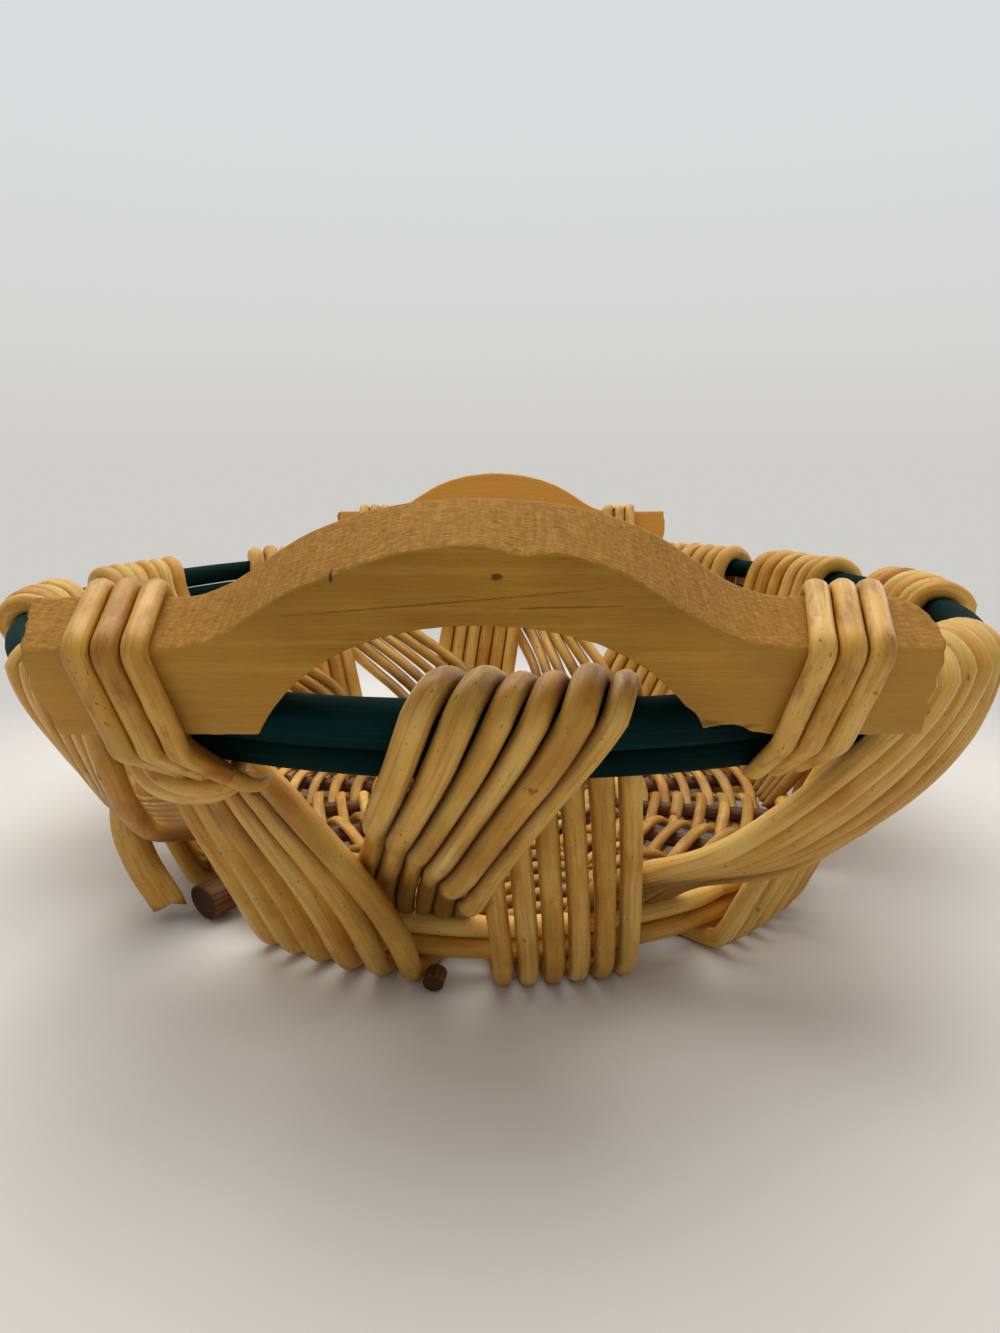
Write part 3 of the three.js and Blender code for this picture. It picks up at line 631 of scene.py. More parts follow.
def limewood(tree, colours):
    """Limewood, planed on its faces and band-sawn on its curved edges, under thin
    varnish: faint level grain on the faces, and a fuzzy, more golden sawn surface."""
    figure = wood_figures(tree, "wood_space", {
        "grain": ((90, 2.6, 5), 4.0, 0.6),
        "fibres": ((7, 0.45, 0.45), 2.0, 0.5),
        "flecks": ((2.6, 0.4, 0.4), 1.0, 0.5),
        "cloud": ((42, 26, 26), 2.0, 0.5),
        "teeth": ((0.8, 7, 7), 3.0, 0.7),
        "fuzz": ((2.2, 0.9, 0.5), 3.0, 0.65),
        "wobble": ((3, 1.2, 3), 2.0, 0.6)})
    sawn, warm = (add_node(tree, "ShaderNodeAttribute", attribute_name=key).outputs["Fac"]
                  for key in ("sawn", "warm"))
    along = add_node(tree, "ShaderNodeSeparateXYZ", {0: figure["place"]}).outputs["X"]
    # The band saw raised the fibres of the curved edges, which took more colour
    rough, edge, gloss, apart = (
        add_node(tree, "ShaderNodeMath", dict(enumerate(values)), operation=kind).outputs[0]
        for kind, *values in (("MULTIPLY_ADD", figure["teeth"], 0.5, figure["fuzz"]),
                              ("MULTIPLY", sawn, 0.85), ("MULTIPLY_ADD", sawn, 0.2, 0.45),
                              ("ABSOLUTE", along)))
    body, shade, line, fleck, sawn_colour = (
        add_node(tree, "ShaderNodeValToRGB", {"Fac": value}, stops).outputs["Color"]
        for value, stops in (
            (figure["grain"], ((0.2, "#98702A"), (0.5, colours.lime), (0.85, "#BC9144"))),
            (figure["cloud"], ((0.32, 0.68), (0.66, 1))),
            (figure["fibres"], ((0.3, 0.36), (0.44, 0))),
            (figure["flecks"], ((0.69, 0), (0.76, 0.4))),
            (rough, ((0.5, "#714812"), (0.74, "#976720"), (1.0, "#B98A38")))))
    body = add_node(tree, "ShaderNodeMix", {"Factor": 1.0, "A": body, "B": shade},
                    data_type="RGBA", blend_type="MULTIPLY").outputs["Result"]
    dark = add_node(tree, "ShaderNodeMath", {0: line, 1: fleck}, operation="MAXIMUM").outputs[0]
    ends = add_node(tree, "ShaderNodeMapRange", {
        "Value": apart, "From Min": 30 * MM, "From Max": 75 * MM, "To Max": 0.45})
    height = add_node(tree, "ShaderNodeMix", {
        "Factor": sawn, "A": figure["fibres"], "B": rough}, data_type="FLOAT")
    finish_wood(tree, body, (
        (dark, "#6F4C1A"),
        # Paler towards the board's ends than in its middle
        (ends.outputs["Result"], "#C9984B"),
        # The far handle was sawn from a paler, more orange plank
        (warm, "#D8983F"),
        (edge, sawn_colour),
        (face_marks(tree, figure, FACE_MARKS), "#3F2A10"),
        (face_marks(tree, figure, (GREEN_NICK,)), "#14392E")),
        (height.outputs["Result"], 0.55, 0.3 * MM),
        {"Roughness": gloss, "IOR": 1.5, "Specular IOR Level": 0.1})


# ---------------------------------------------------------------- rim hoops and base

def closed_tube(skin, path, radius, rng, sides, lumps):
    """A tube whose two ends meet, as one skin with no caps."""
    before, after = np.roll(path, 1, axis=0), np.roll(path, -1, axis=0)
    tangent = unit(after - before)
    up = unit(np.cross(unit(path * [1, 1, 0]), tangent))
    out = np.cross(tangent, up)
    turn = np.arange(sides) * 2 * math.pi / sides
    step = np.linalg.norm(after - path, axis=1)
    along = np.concatenate([[0], np.cumsum(step)[:-1]])
    whole = step.sum()
    lump = np.zeros((len(path), sides))
    for waves, spread, weight in ((5, 1, 0.5), (11, 2, 0.6), (23, 1, 0.35), (47, 2, 0.25)):
        phase, twist = rng.uniform(0, 2 * math.pi, 2)
        lump += weight * np.sin(along[:, None] / whole * 2 * math.pi * waves + phase
                                ) * np.cos(spread * turn[None] + twist)
    # The wood's figure runs out and back so that it meets itself
    run = np.abs(along - whole / 2) + rng.uniform(0, WOOD_APART)
    size = radius[:, None] * (1 + lumps * lump)
    index = skin.add_rings(path, (out, up), size, turn, run)[2]
    ahead = np.roll(index, -1, axis=0)
    corners = (index, ahead, np.roll(ahead, -1, axis=1), np.roll(index, -1, axis=1))
    skin.faces += np.stack(corners, -1).reshape(-1, 4).tolist()


class BASKET_OT_rim_hoops(bpy.types.Operator):
    """Makes the two stained hoops of the rim"""
    bl_idname = "basket.rim_hoops"
    bl_label = "Rim hoops"

    def execute(self, context):
        material = make_material("stained_willow_rod", stained_willow,
                                 context.scene.basket_colours)
        angle = np.linspace(0, 360, 420, endpoint=False)
        for seed, (name, place) in enumerate((("upper", upper_hoop), ("lower", lower_hoop))):
            rng = np.random.RandomState(SEEDS["hoops"] + seed)
            skin = Skin()
            radius, out, height = place(angle)
            closed_tube(skin, polar(angle, out, height), radius, rng, sides=26, lumps=0.018)
            skin.piece(f"hoop_{name}", material, "stained_willow", f"rim_hoop_{name}")
        return {"FINISHED"}


# The border's rods: their names, heights and the angle where the first starts
BORDERS = (("lower", BORDER_LOW, 35), ("upper", BORDER_HIGH, -60))
# How far round each rod reaches, how far its thin ends reach and how far in they tuck
BORDER_REACH, BORDER_ENDS, BORDER_TUCK = 196, (12, 14), 1.6 * MM


class BASKET_OT_base_border(bpy.types.Operator):
    """Makes the two rods round the edge of the base"""
    bl_idname = "basket.base_border"
    bl_label = "Base border"

    def execute(self, context):
        material = willow_material("buff_willow_rod", context.scene.basket_colours)
        for seed, (name, height, start) in enumerate(BORDERS):
            rng = np.random.RandomState(SEEDS["border"] + seed)
            skin = Skin()
            # Two rods, each a little more than half the way round, lie end past end
            for half in range(2):
                angle = np.linspace(0, BORDER_REACH, 240) + 180 * half + start
                wave = 0.25 * MM * np.sin(np.radians(angle * 7))
                thin = (smooth(angle - angle[0], 0, BORDER_ENDS[0])
                        * smooth(angle[-1] - angle, 0, BORDER_ENDS[1]))
                path = polar(angle, BORDER_RADIUS + wave - BORDER_TUCK * (1 - thin),
                             height + 0.3 * wave)
                skin.tube(path, BORDER_ROD / 2 * lerp(0.55, 0.97, thin), rng, sides=16,
                          lumps=0.02, scars=context.scene.basket_sizes.scar_spacing)
            skin.piece(f"border_{name}", material, "natural_willow", f"base_border_{name}")
        return {"FINISHED"}


CROSS_LOW = SPOKE_HEIGHT - STICK_DIAMETER / 2 - GAP / 2
CROSS_HIGH = SPOKE_HEIGHT + STICK_DIAMETER / 2 + GAP / 2
CROSS_HALF = STICK_SPACING * (STICK_COUNT - 1) / 2 + STICK_DIAMETER / 2 + 1.5 * MM
# How far out a stick's bends lie, against the weave
STICK_BENDS = (0.34, 0.6, 0.8, 1)
# Thick stick butts that stick out under the border: both ends as angle, distance from
# the middle and height, the half width, and the height against the width
BUTTS = {
    "lower_1": ((-141.3, 123.4 * MM, 7.2 * MM), (-140.4, 132.5 * MM, 6.7 * MM), 7.6 * MM, 0.8),
    "upper_3": ((-98.6, 124.4 * MM, 3.4 * MM), (-98.6, 130.5 * MM, 3.3 * MM), 3.2 * MM, 0.9),
}


def stick_line(index, cross_height):
    """The middle line of one base stick, from border to border."""
    side = index - (STICK_COUNT - 1) / 2
    across = side * STICK_SPACING
    fan = math.radians(side * STICK_FAN)
    half = [(CROSS_HALF * 0.45, across, cross_height), (CROSS_HALF, across, cross_height)]
    for reach in STICK_BENDS:
        half.append((WEAVE_RADIUS * reach * math.cos(fan), WEAVE_RADIUS * reach * math.sin(fan),
                     SPOKE_HEIGHT))
    line, _ = resample([(-x, y, z) for x, y, z in reversed(half)] + half, 2.5 * MM)
    return relax(line, 8)


class BASKET_OT_base_sticks(bpy.types.Operator):
    """Makes the two crossing sets of base sticks that open out like spokes"""
    bl_idname = "basket.base_sticks"
    bl_label = "Base sticks"

    def execute(self, context):
        material = make_material("steamed_brown_willow", brown_willow,
                                 context.scene.basket_colours)
        for number in range(2 * STICK_COUNT):
            upper, k = divmod(number, STICK_COUNT)
            name = f"{('lower', 'upper')[upper]}_{k + 1}"
            rng = np.random.RandomState(SEEDS["sticks"] + upper * 10 + k)
            line = stick_line(k, (CROSS_LOW, CROSS_HIGH)[upper])
            if upper:
                line = np.stack([-line[:, 1], line[:, 0], line[:, 2]], 1)
            skin = Skin()
            skin.tube(line, STICK_DIAMETER / 2 * 0.98, rng, sides=14, lumps=0.03,
                      scars=context.scene.basket_sizes.scar_spacing)
            if name in BUTTS:
                start, end, thick, flat = BUTTS[name]
                butt, _ = resample([polar(*start), polar(*end)], 1.2 * MM)
                skin.tube(butt, thick, rng, sides=20, flat=flat, lumps=0.12,
                          normals=UP)
            skin.piece(f"stick_{name}", material, "brown_willow", f"base_stick_{name}")
        return {"FINISHED"}


SPOKES = 4 * STICK_COUNT
FIRST_ROW = WEAVE_RADIUS - 2.2 * MM - WEAVE_ROWS * WEAVER_PITCH
MIDDLE_ROWS = 5
# Between which distances from the middle the weavers change from going round four
# sticks to two, and from two to one, and the sticks' crossing ends
TO_TWOS, TO_ONES, CROSS_ENDS = (24 * MM, 27 * MM), (34 * MM, 38 * MM), (CROSS_HALF, 40 * MM)
# How far a weaver reaches: degrees round the base, times metres from its middle
WEAVER_REACH = 18000 * MM
WEAVER_OVERLAP = 7


def weaver_height(angle, radius, way):
    """Height of a weaver: round the sticks by fours near the middle, then by twos, then
    over one and under the next. The second weaver goes the other way."""
    arms = np.clip(np.cos(np.radians(angle * 2)) * 2.6, -1, 1)
    twos = np.clip(np.cos(np.radians(angle * 4 - 90)) * 1.6, -1, 1)
    ones = np.cos(np.radians((angle - STICK_FAN / 2) * SPOKES / 2))
    ones = np.sign(ones) * np.abs(ones) ** 0.8
    wave = lerp(lerp(arms, twos, smooth(radius, *TO_TWOS)), ones, smooth(radius, *TO_ONES))
    # The two sets of sticks lie one on the other at the middle
    stick = (CROSS_LOW - SPOKE_HEIGHT) * arms * (1 - smooth(radius, *CROSS_ENDS))
    return SPOKE_HEIGHT + stick + wave * (STICK_DIAMETER + WEAVER_THICKNESS) / 2 * way


class BASKET_OT_base_weave(bpy.types.Operator):
    """Weaves the base: two weavers chase each other out over and under the sticks"""
    bl_idname = "basket.base_weave"
    bl_label = "Base weave"

    def execute(self, context):
        sizes = context.scene.basket_sizes
        material = willow_material("buff_willow_weaver", context.scene.basket_colours)
        skin = Skin()
        rng = np.random.RandomState(SEEDS["weave"])
        for start, way in ((0, -1), (180, 1)):
            zero = start - STICK_FAN * 1.5
            turn, end = zero - 180.0 * MIDDLE_ROWS, zero + 180.0 * WEAVE_ROWS
            while turn < end:
                # A rod long enough for its row, ending behind a stick
                reach = min(turn + rng.uniform(0.8, 1.25) * WEAVER_REACH
                            / (FIRST_ROW + WEAVER_PITCH * (turn - zero) / 180), end)
                angle = np.arange(turn - WEAVER_OVERLAP, reach + WEAVER_OVERLAP, 2.2)
                radius = FIRST_ROW + WEAVER_PITCH * (angle - zero) / 180
                path = polar(angle, radius, weaver_height(angle, radius, way))
                share = (angle - angle[0]) / (angle[-1] - angle[0])
                # Each weaver is browned by its own random amount: partly wear, partly painted
                # shade that darkens the whole base inside the basket
                skin.tube(path, sizes.weaver_width / 2 * lerp(1.06, 0.86, share), rng, sides=10,
                          normals=UP, flat=WEAVER_THICKNESS / sizes.weaver_width,
                          lumps=0.05, scars=sizes.scar_spacing * 1.4, slant=0.8,
                          aged=rng.uniform(0.15, 0.4))
                turn = reach
        skin.piece("weave_base", material, "pale_willow", "base_weave")
        return {"FINISHED"}


# ---------------------------------------------------------------- stakes

# Where the tips of the stakes end, behind the border
TIP_RADIUS, TIP_HEIGHT = 113 * MM, 14 * MM
# The stakes' height under the base, where they lie on the table
REST_HEIGHT = 3.15 * MM
# Below this height a falling stake lies on its band, and above it swings out to the rim
SWING_HEIGHT = 50 * MM
FIRST_SIDE = -(STAKES_IN_BAND - 1) / 2
# What keeps a stake clear of the border, of the place of its dive, of its own band, of
# the lower hoop and of the upper hoop that it bends round
TUCK_CLEAR, DIVE_CLEAR, BAND_CLEAR, HOOP_CLEAR, BEND_CLEAR = (
    0.6 * MM, 3 * MM, 0.5 * MM, 3 * MM, 0.2 * MM)
# How a falling stake leaves the rim, how many layers inside the wall it first passes,
# and the height from which it comes out to one layer
SWING_CURVE, DEEP_LAYERS, DEEP_HEIGHT = 0.6, 2.1, 45 * MM
# A rising stake's lowest place on the wall, and how wide its loop over the rim is
# against its height
WALL_START, LOOP_WIDE = 14 * MM, 1.05
# Where on its way down a stake's first place is, and how far round its tip leans
FALL_START, TIP_LEAN = 0.07, 1.5
# Over which length a stake's thickness changes, how thick it is under the base and at
# its very tip, and how far past its top the fall's corners are rounded off, in rings
THICKNESS_CHANGE, UNDER_THICKNESS, POINT_THICKNESS = 14 * MM, 0.96, 0.8
FALL_RING, FALL_ROUNDS = 6, 24
# How near the middles of two stakes have to be for one to paint shade on the other
NEIGHBOUR = 110 * MM
# How brown stakes are where they bend over the rim, and how far along, from its top
BEND_AGED, NEAR_BEND_AGED, BEND_REACH = 0.14, 0.34, 7 * MM
# How far from its neighbours a rod gets painted shade, further for the bands at the near and the
# left side
CREVICE_SHADE_REACH, NEAR_CREVICE_SHADE_REACH, DEEP_SHADE_BANDS = 1.0 * MM, 2.8 * MM, "abij"
# How many rings of a stake's tip get painted shade for the dark behind the border, and how dark
TIP_SHADE_DARK = (24, 0.55)
TIP_SHADE_DARKER = {"j": (36, 0.75)}
# The butt of one stake, loose below the wall: angles, distances from the middle, heights
LOOSE_STAKE = "i_6"
LOOSE_END = ((-147.5, 151, 48), (-147, 152, 36), (-145.5, 148, 20), (-144, 142, 6.5))


def stake_angles(band, side, rim_side):
    """Where a stake stands, passes the rim inside and outside, and is tucked in."""
    rim = band["rim"] + rim_side * band["rim_step"]
    return {"foot": band["foot"] + side * band["foot_step"],
            "rim_in": rim + band["cross"] / 2, "rim_out": rim - band["cross"] / 2,
            "tuck": band["tuck"] + side * band["tuck_step"]}


def rising_angle(band, at, height):
    """The angle that a stake has reached at a height on its way up."""
    share = np.clip(wall_share(height), 0, 1)
    return lerp(at["foot"], at["rim_in"], share ** band["late_up"])


def falling_place(band, side, share, at, start):
    """A place on a stake's way down: outside its own band, then inside the next band."""
    tuck_low = BORDER_TOP + GAP + STAKE_TIP / 2 + TUCK_CLEAR
    place = side / (STAKES_IN_BAND - 1) + 0.5
    tuck_height = lerp(TUCK_HIGH.get(band["name"], USUAL_TUCK_HIGH) * MM, tuck_low, place)
    height = lerp(start[2], tuck_height, share)
    late = band["late_down"] + band["fan"] * place
    angle = lerp(at["rim_out"], at["tuck"], share ** late)
    # It passes inward beyond the first stake of its band, above the place of its dive
    first = rising_angle(band, stake_angles(band, FIRST_SIDE, FIRST_SIDE), height)
    dive = lerp(band["dive"] * MM, tuck_height + DIVE_CLEAR, place)
    past = smooth(first - angle, PASS_START, PASS_END)
    past *= 1 - smooth(height, dive, dive + DIVE_DEPTH)
    above = np.clip((height - SWING_HEIGHT) / (start[2] - SWING_HEIGHT), 0, 1)
    outer = lerp(LAYER + BAND_CLEAR, start[1] - wall_radius(start[2]), above ** SWING_CURVE)
    bowed = min(1, (start[2] - height) / (start[2] - BOW_END))
    outer += band["bow"] * MM * place * math.sin(math.pi * bowed)
    inner = -lerp(LAYER * DEEP_LAYERS, LAYER, smooth(height, tuck_low, DEEP_HEIGHT))
    return polar(angle, wall_radius(height) + lerp(outer, inner, past), height)


def stake_line(band, index, rim_side, radius):
    """The middle line of a stake: out under the base, up the wall inside the hoops,
    over the rim, and down to its tip behind the border's upper rod."""
    side = FIRST_SIDE + index
    at = stake_angles(band, side, rim_side)
    inset = band["inset"] * MM
    out = polar(band["foot"], 1.0, 0.0)
    heel = polar(at["foot"], BASE_RADIUS - STAKE_FOOT * 0.4, REST_HEIGHT)
    points = [heel - out * STUB_LENGTH, heel - out * STUB_LENGTH / 2, heel,
              polar(at["foot"], WALL_FOOT_RADIUS, WALL_FOOT_HEIGHT)]
    top = WALL_TOP_HEIGHT - HOOP_CLEAR
    for height in np.linspace(WALL_START, top, 9):
        inward = inset * smooth(height, SWING_HEIGHT, top)
        points.append(polar(rising_angle(band, at, height), wall_radius(height) - inward, height))
    for degrees in range(180, -1, -15):
        angle = lerp(at["rim_out"], at["rim_in"], degrees / 180)
        hoop_r, hoop_out, hoop_z = upper_hoop(angle)
        bend = hoop_r + BEND_CLEAR + radius
        across, up = math.cos(math.radians(degrees)), math.sin(math.radians(degrees))
        reach = hoop_out + bend * across * LOOP_WIDE - inset * max(0, -across)
        points.append(polar(angle, reach, hoop_z + bend * up))
    start = (0, np.linalg.norm(points[-1][:2]), points[-1][2])
    for share in np.linspace(FALL_START, 1, 15):
        points.append(falling_place(band, side, share, at, start))
    reach, tip = np.linalg.norm(points[-1][:2]), points[-1][2]
    for share in (0.5, 1):
        points.append(polar(at["tuck"] - TIP_LEAN * share, lerp(reach, TIP_RADIUS, share),
                            lerp(tip, TIP_HEIGHT, share)))
    return np.array(points)


class BASKET_OT_stakes(bpy.types.Operator):
    """Makes the sixty stakes, in ten bands of six"""
    bl_idname = "basket.stakes"
    bl_label = "Stakes"

    def execute(self, context):
        sizes = context.scene.basket_sizes
        material = willow_material("buff_willow_rod", context.scene.basket_colours)
        rods = {}
        for number, row in enumerate(BANDS):
            rods.update(self.band_rods(sizes, dict(zip(BAND_FIELDS, row)), number))
        for name, (line, body, skin) in rods.items():
            # Only rods that come near this one count
            near = [(rod[0], rod[1]) for other, rod in rods.items() if other != name
                    and np.linalg.norm(rod[0].mean(0) - line.mean(0)) < NEIGHBOUR]
            # Painted shade on its tip, which lies in the dark behind the border
            rings, share = TIP_SHADE_DARKER.get(name[0], TIP_SHADE_DARK)
            dark = share * smooth(np.arange(len(line)), len(line) - rings,
                                  len(line) - rings * 0.6)
            # Painted shade where it lies near other rods, deeper on its tip
            skin.paint_crevice_shade(
                near, NEAR_CREVICE_SHADE_REACH if name[0] in DEEP_SHADE_BANDS else CREVICE_SHADE_REACH,
                np.repeat(dark, sizes.rod_sides))
            if name == LOOSE_STAKE:
                self.add_loose_end(skin)
            band, index = name.split("_")
            skin.piece(f"stake_{name}", material, "natural_willow",
                       f"stakes_{band}_{(int(index) + 1) // 2}")
        return {"FINISHED"}

    def band_rods(self, sizes, band, number):
        """The rods of one band by name: each has its middle line, its radii and skin."""
        rods, name = {}, band["name"]
        rng = np.random.RandomState(SEEDS["stakes"] + number)
        thick = rng.uniform(0.9, 1.08, STAKES_IN_BAND)
        if name == "a":
            thick = np.array(NEAR_THICKNESS)
        foot = STAKE_FOOT / 2 * FOOT_THICKNESS.get(name, 1.0)
        tip = STAKE_TIP / 2 * TIP_THICKNESS.get(name, 1.0)
        # Stakes lie side by side at the rim, so thick ones take more room
        middles = np.cumsum(thick) - thick / 2
        spread = (STAKES_IN_BAND - 1) / (middles[-1] - middles[0])
        rim_sides = (middles - (middles[0] + middles[-1]) / 2) * spread
        tones = TONES.get(name, rng.uniform(0, 1, STAKES_IN_BAND))
        for index in range(STAKES_IN_BAND):
            radius = sizes.stake_rim / 2 * thick[index]
            line = stake_line(band, index, rim_sides[index], radius)
            line, along = resample(line, sizes.ring_spacing)
            line = relax(line, 3)
            # How far along the stake its highest place is, over the rim
            top = np.argmax(line[:, 2])
            over = along[top]
            line[top + FALL_RING:] = relax(line[top + FALL_RING:], FALL_ROUNDS)
            under = STAKE_FOOT / 2 * UNDER_THICKNESS
            places, radii = zip(
                (0, under), (STUB_LENGTH, under), (STUB_LENGTH + THICKNESS_CHANGE, foot),
                (over * 0.6, foot), (over, radius), (over + THICKNESS_CHANGE, radius * 0.97),
                (along[-1] - THICKNESS_CHANGE, tip * thick[index]),
                (along[-1], tip * POINT_THICKNESS))
            body = np.interp(along, places, radii)
            aged = np.exp(-((along - over) / BEND_REACH) ** 2) * rng.uniform(0.6, 1.1)
            skin = Skin()
            skin.tube(line, body, rng, sides=sizes.rod_sides, lumps=0.028,
                      scars=sizes.scar_spacing, slant=0.5, tone=tones[index],
                      aged=aged * (NEAR_BEND_AGED if name == "a" else BEND_AGED))
            rods[f"{name}_{index + 1}"] = (line, body, skin)
        return rods

    def add_loose_end(self, skin):
        """The butt of one stake sticks out below the wall, cut off on a slant."""
        angle, radius, height = np.transpose(LOOSE_END)
        line, along = resample(polar(angle, radius * MM, height * MM), 2.2 * MM)
        line = relax(line, 4)
        inward = unit(line * [-1, -1, 0])
        skin.tube(line, np.interp(along, [0, 20 * MM], [4 * MM, 5.6 * MM]),
                  np.random.RandomState(SEEDS["loose_end"]), sides=18,
                  normals=np.cross(inward, unit(np.gradient(line, axis=0))),
                  scars=30 * MM, slant=1.0, tone=0.55)


# ---------------------------------------------------------------- handles

def bezier(*corners):
    """A curve of 60 points between the first and the last of four corners."""
    t = np.linspace(0, 1, 60)[:, None]
    a, b, c, d = (np.array(p, float) for p in corners)
    return (1 - t) ** 3 * a + 3 * (1 - t) ** 2 * t * b + 3 * (1 - t) * t ** 2 * c + t ** 3 * d


ARCH_CURVE = bezier((-ARCH_HALF, 0), (-ARCH_HALF * 0.8, ARCH_HEIGHT * 0.68),
                    (-ARCH_HALF * 0.46, ARCH_HEIGHT), (0, ARCH_HEIGHT))
TOP_CURVE = bezier((-HANDLE_SHOULDER, HANDLE_END),
                   (-HANDLE_SHOULDER * 0.63, HANDLE_END + 2 * MM),
                   (-HANDLE_SHOULDER * 0.53, HANDLE_END + HANDLE_RISE),
                   (0, HANDLE_END + HANDLE_RISE))
# The saw wandered outward through the board, so the arch is broader at its back
BACK_TOP_CURVE = bezier((-66 * MM, HANDLE_END), (-46 * MM, 24.5 * MM), (-42 * MM, 45.9 * MM),
                        (0, 45.9 * MM))
# Where the top edge of the near handle's face rises or dips: middle, reach and height
TOP_WAVES = ((-41, 11, 2.4), (8, 5, -1.6), (26, 7, 0.5))
# Torn grain lifts the arch's right foot: where it starts, is whole, and fades out, and
# how high and how ragged it is
TORN_START, TORN_FADE = (43 * MM, 47 * MM), (52 * MM, 64 * MM)
TORN_HEIGHT, TORN_RAGGED = 2.3 * MM, 0.8 * MM
# The board's mesh: sections along it, and points up its faces and across its edges
BOARD_SECTIONS, FACE_POINTS, EDGE_POINTS = 261, 30, 24
CORNER_SIZE = 0.9 * MM


def handle_edge(x, curve, beyond):
    """Height of a handle's edge at each place along it, and beyond the curve's end."""
    return np.interp(-np.abs(x), curve[:, 0], curve[:, 1], left=beyond)


def handle_height(middle):
    """Height of a handle's outer lower edge, seated on the upper hoop at its arch feet."""
    foot = math.degrees(math.asin(ARCH_HALF / RIM_RADIUS))
    r, _, z = upper_hoop(middle + foot)
    hoop_out = RIM_RADIUS * math.cos(math.radians(foot))
    lift = (r + GAP) / math.cos(HANDLE_LEAN)
    return z + lift - (HANDLE_OUT - hoop_out) * math.tan(HANDLE_LEAN)


def handle_place(up, back, middle):
    """How far out and how high a place on a handle is, from its own axes."""
    out = HANDLE_OUT + up * math.sin(HANDLE_LEAN) - back * math.cos(HANDLE_LEAN)
    return out, handle_height(middle) + up * math.cos(HANDLE_LEAN) + back * math.sin(HANDLE_LEAN)


def handle_section():
    """Places round a section of the board, as shares of its height and thickness: rows
    of (up, back, how sawn)."""
    face = np.linspace(0, 1, FACE_POINTS)
    edge = np.linspace(0, 1, EDGE_POINTS)[1:-1]
    return np.array([(up, 0, 0) for up in face] + [(1, back, 1) for back in edge]
                    + [(1 - up, 1, 0) for up in face] + [(0, 1 - back, 1) for back in edge],
                    float)


def line_noise(rng, places, length):
    """Smooth random values along a line, from -1 to 1, with that wavelength."""
    knots = int(places.max() / length - places.min() / length) + 4
    values = rng.uniform(-1, 1, knots)
    at = (places - places.min()) / length + 1
    low = np.clip(at.astype(int), 0, knots - 2)
    return lerp(values[low], values[low + 1], smooth(at - low, 0, 1))


class BASKET_OT_handles(bpy.types.Operator):
    """Makes the two sawn wooden handles"""
    bl_idname = "basket.handles"
    bl_label = "Handles"

    def execute(self, context):
        material = make_material("varnished_limewood", limewood, context.scene.basket_colours)
        rise, depth, cut = handle_section().T
        for seed, (name, middle, shift) in enumerate(HANDLES):
            rng = np.random.RandomState(SEEDS["handles"] + seed)
            share = np.linspace(-1, 1, BOARD_SECTIONS)
            x = np.where(share < 0, share * HANDLE_LEFT, share * HANDLE_RIGHT)
            torn = smooth(x, *TORN_START) * (1 - smooth(x, *TORN_FADE))
            low = handle_edge(x, ARCH_CURVE, 0.0)
            low = low + torn * (TORN_HEIGHT + TORN_RAGGED * line_noise(rng, x, 2.2 * MM))
            low = (low + 0.12 * MM * line_noise(rng, x, 3 * MM))[:, None]
            front = handle_edge(x, TOP_CURVE, HANDLE_END)
            for place, reach, height in TOP_WAVES:
                front = front + height * MM * np.exp(-((x / MM - place) / reach) ** 2)
            high = lerp(front[:, None], handle_edge(x, BACK_TOP_CURVE, HANDLE_END)[:, None],
                        depth)
            high = high + (0.12 * MM * line_noise(rng, x, 2.4 * MM)
                           + 0.25 * MM * line_noise(rng, x, 16 * MM))[:, None]
            up = lerp(low, high, rise)
            back = np.broadcast_to(depth * HANDLE_THICKNESS, up.shape)
            # Corners are rounded
            edges = ((up - low, 1), (high - up, -1))
            faces = ((back, 1), (HANDLE_THICKNESS - back, -1))
            for near_edge, upward in edges:
                for near_face, inward in faces:
                    worn = 0.3 * CORNER_SIZE * (np.clip(1 - near_edge / CORNER_SIZE, 0, 1)
                                                * np.clip(1 - near_face / CORNER_SIZE, 0, 1))
                    up = up + upward * worn
                    back = back + inward * worn
            # Ends cut on a slant: longer at the back on the left, rounded on the right
            bevel = 2.6 * MM * (1 - smooth(up, 0, HANDLE_END * 0.55))
            left = 6 * MM * depth - bevel
            right = 2.6 * MM * np.sin(math.pi * depth) - 1.6 * MM * depth
            longer = np.where(share[:, None] < 0, left, right)
            x = x[:, None]
            away = smooth(np.abs(x), HANDLE_SHOULDER, HANDLE_LEFT)
            wavy = 0.45 * MM * line_noise(rng, rise * 7 + depth * 11 + 3, 1.0)
            x = x + np.sign(x) * (longer * away + wavy * away ** 8)
            out, z = handle_place(up, back, middle)
            points = np.stack([shift - np.sign(middle) * x, np.sign(middle) * out, z], -1)
            sawn = np.broadcast_to(cut, up.shape)
            self.add_board(name, points, np.stack([x, up, back], -1), sawn, material, seed)
        return {"FINISHED"}

    def add_board(self, name, points, wood, sawn, material, seed):
        """The board from its sections, with each point's place in the wood."""
        count, sides = sawn.shape
        index = np.arange(count * sides).reshape(count, sides)
        after = np.roll(index, -1, axis=1)
        faces = np.stack([index[:-1], index[1:], after[1:], after[:-1]], -1)
        ends = []
        for row, middle, way in ((0, count * sides, 1), (-1, count * sides + 1, -1)):
            ends += [[int(a), int(b), middle][::way] for a, b in zip(index[row], after[row])]
        verts, wood = (np.vstack([rows.reshape(-1, 3), rows[0].mean(0), rows[-1].mean(0)])
                       for rows in (points, wood))
        marks = {"wood_space": wood + [seed * 0.7, 0, 0],
                 "sawn": np.concatenate([sawn.ravel(), [1.0, 1.0]]),
                 "warm": np.full(len(verts), 0.8 * seed)}
        place_piece(f"board_{name}", verts, faces.reshape(-1, 4).tolist(), ends, marks,
                    material, "sawn_limewood", f"handle_{name}")


# ---------------------------------------------------------------- lashings

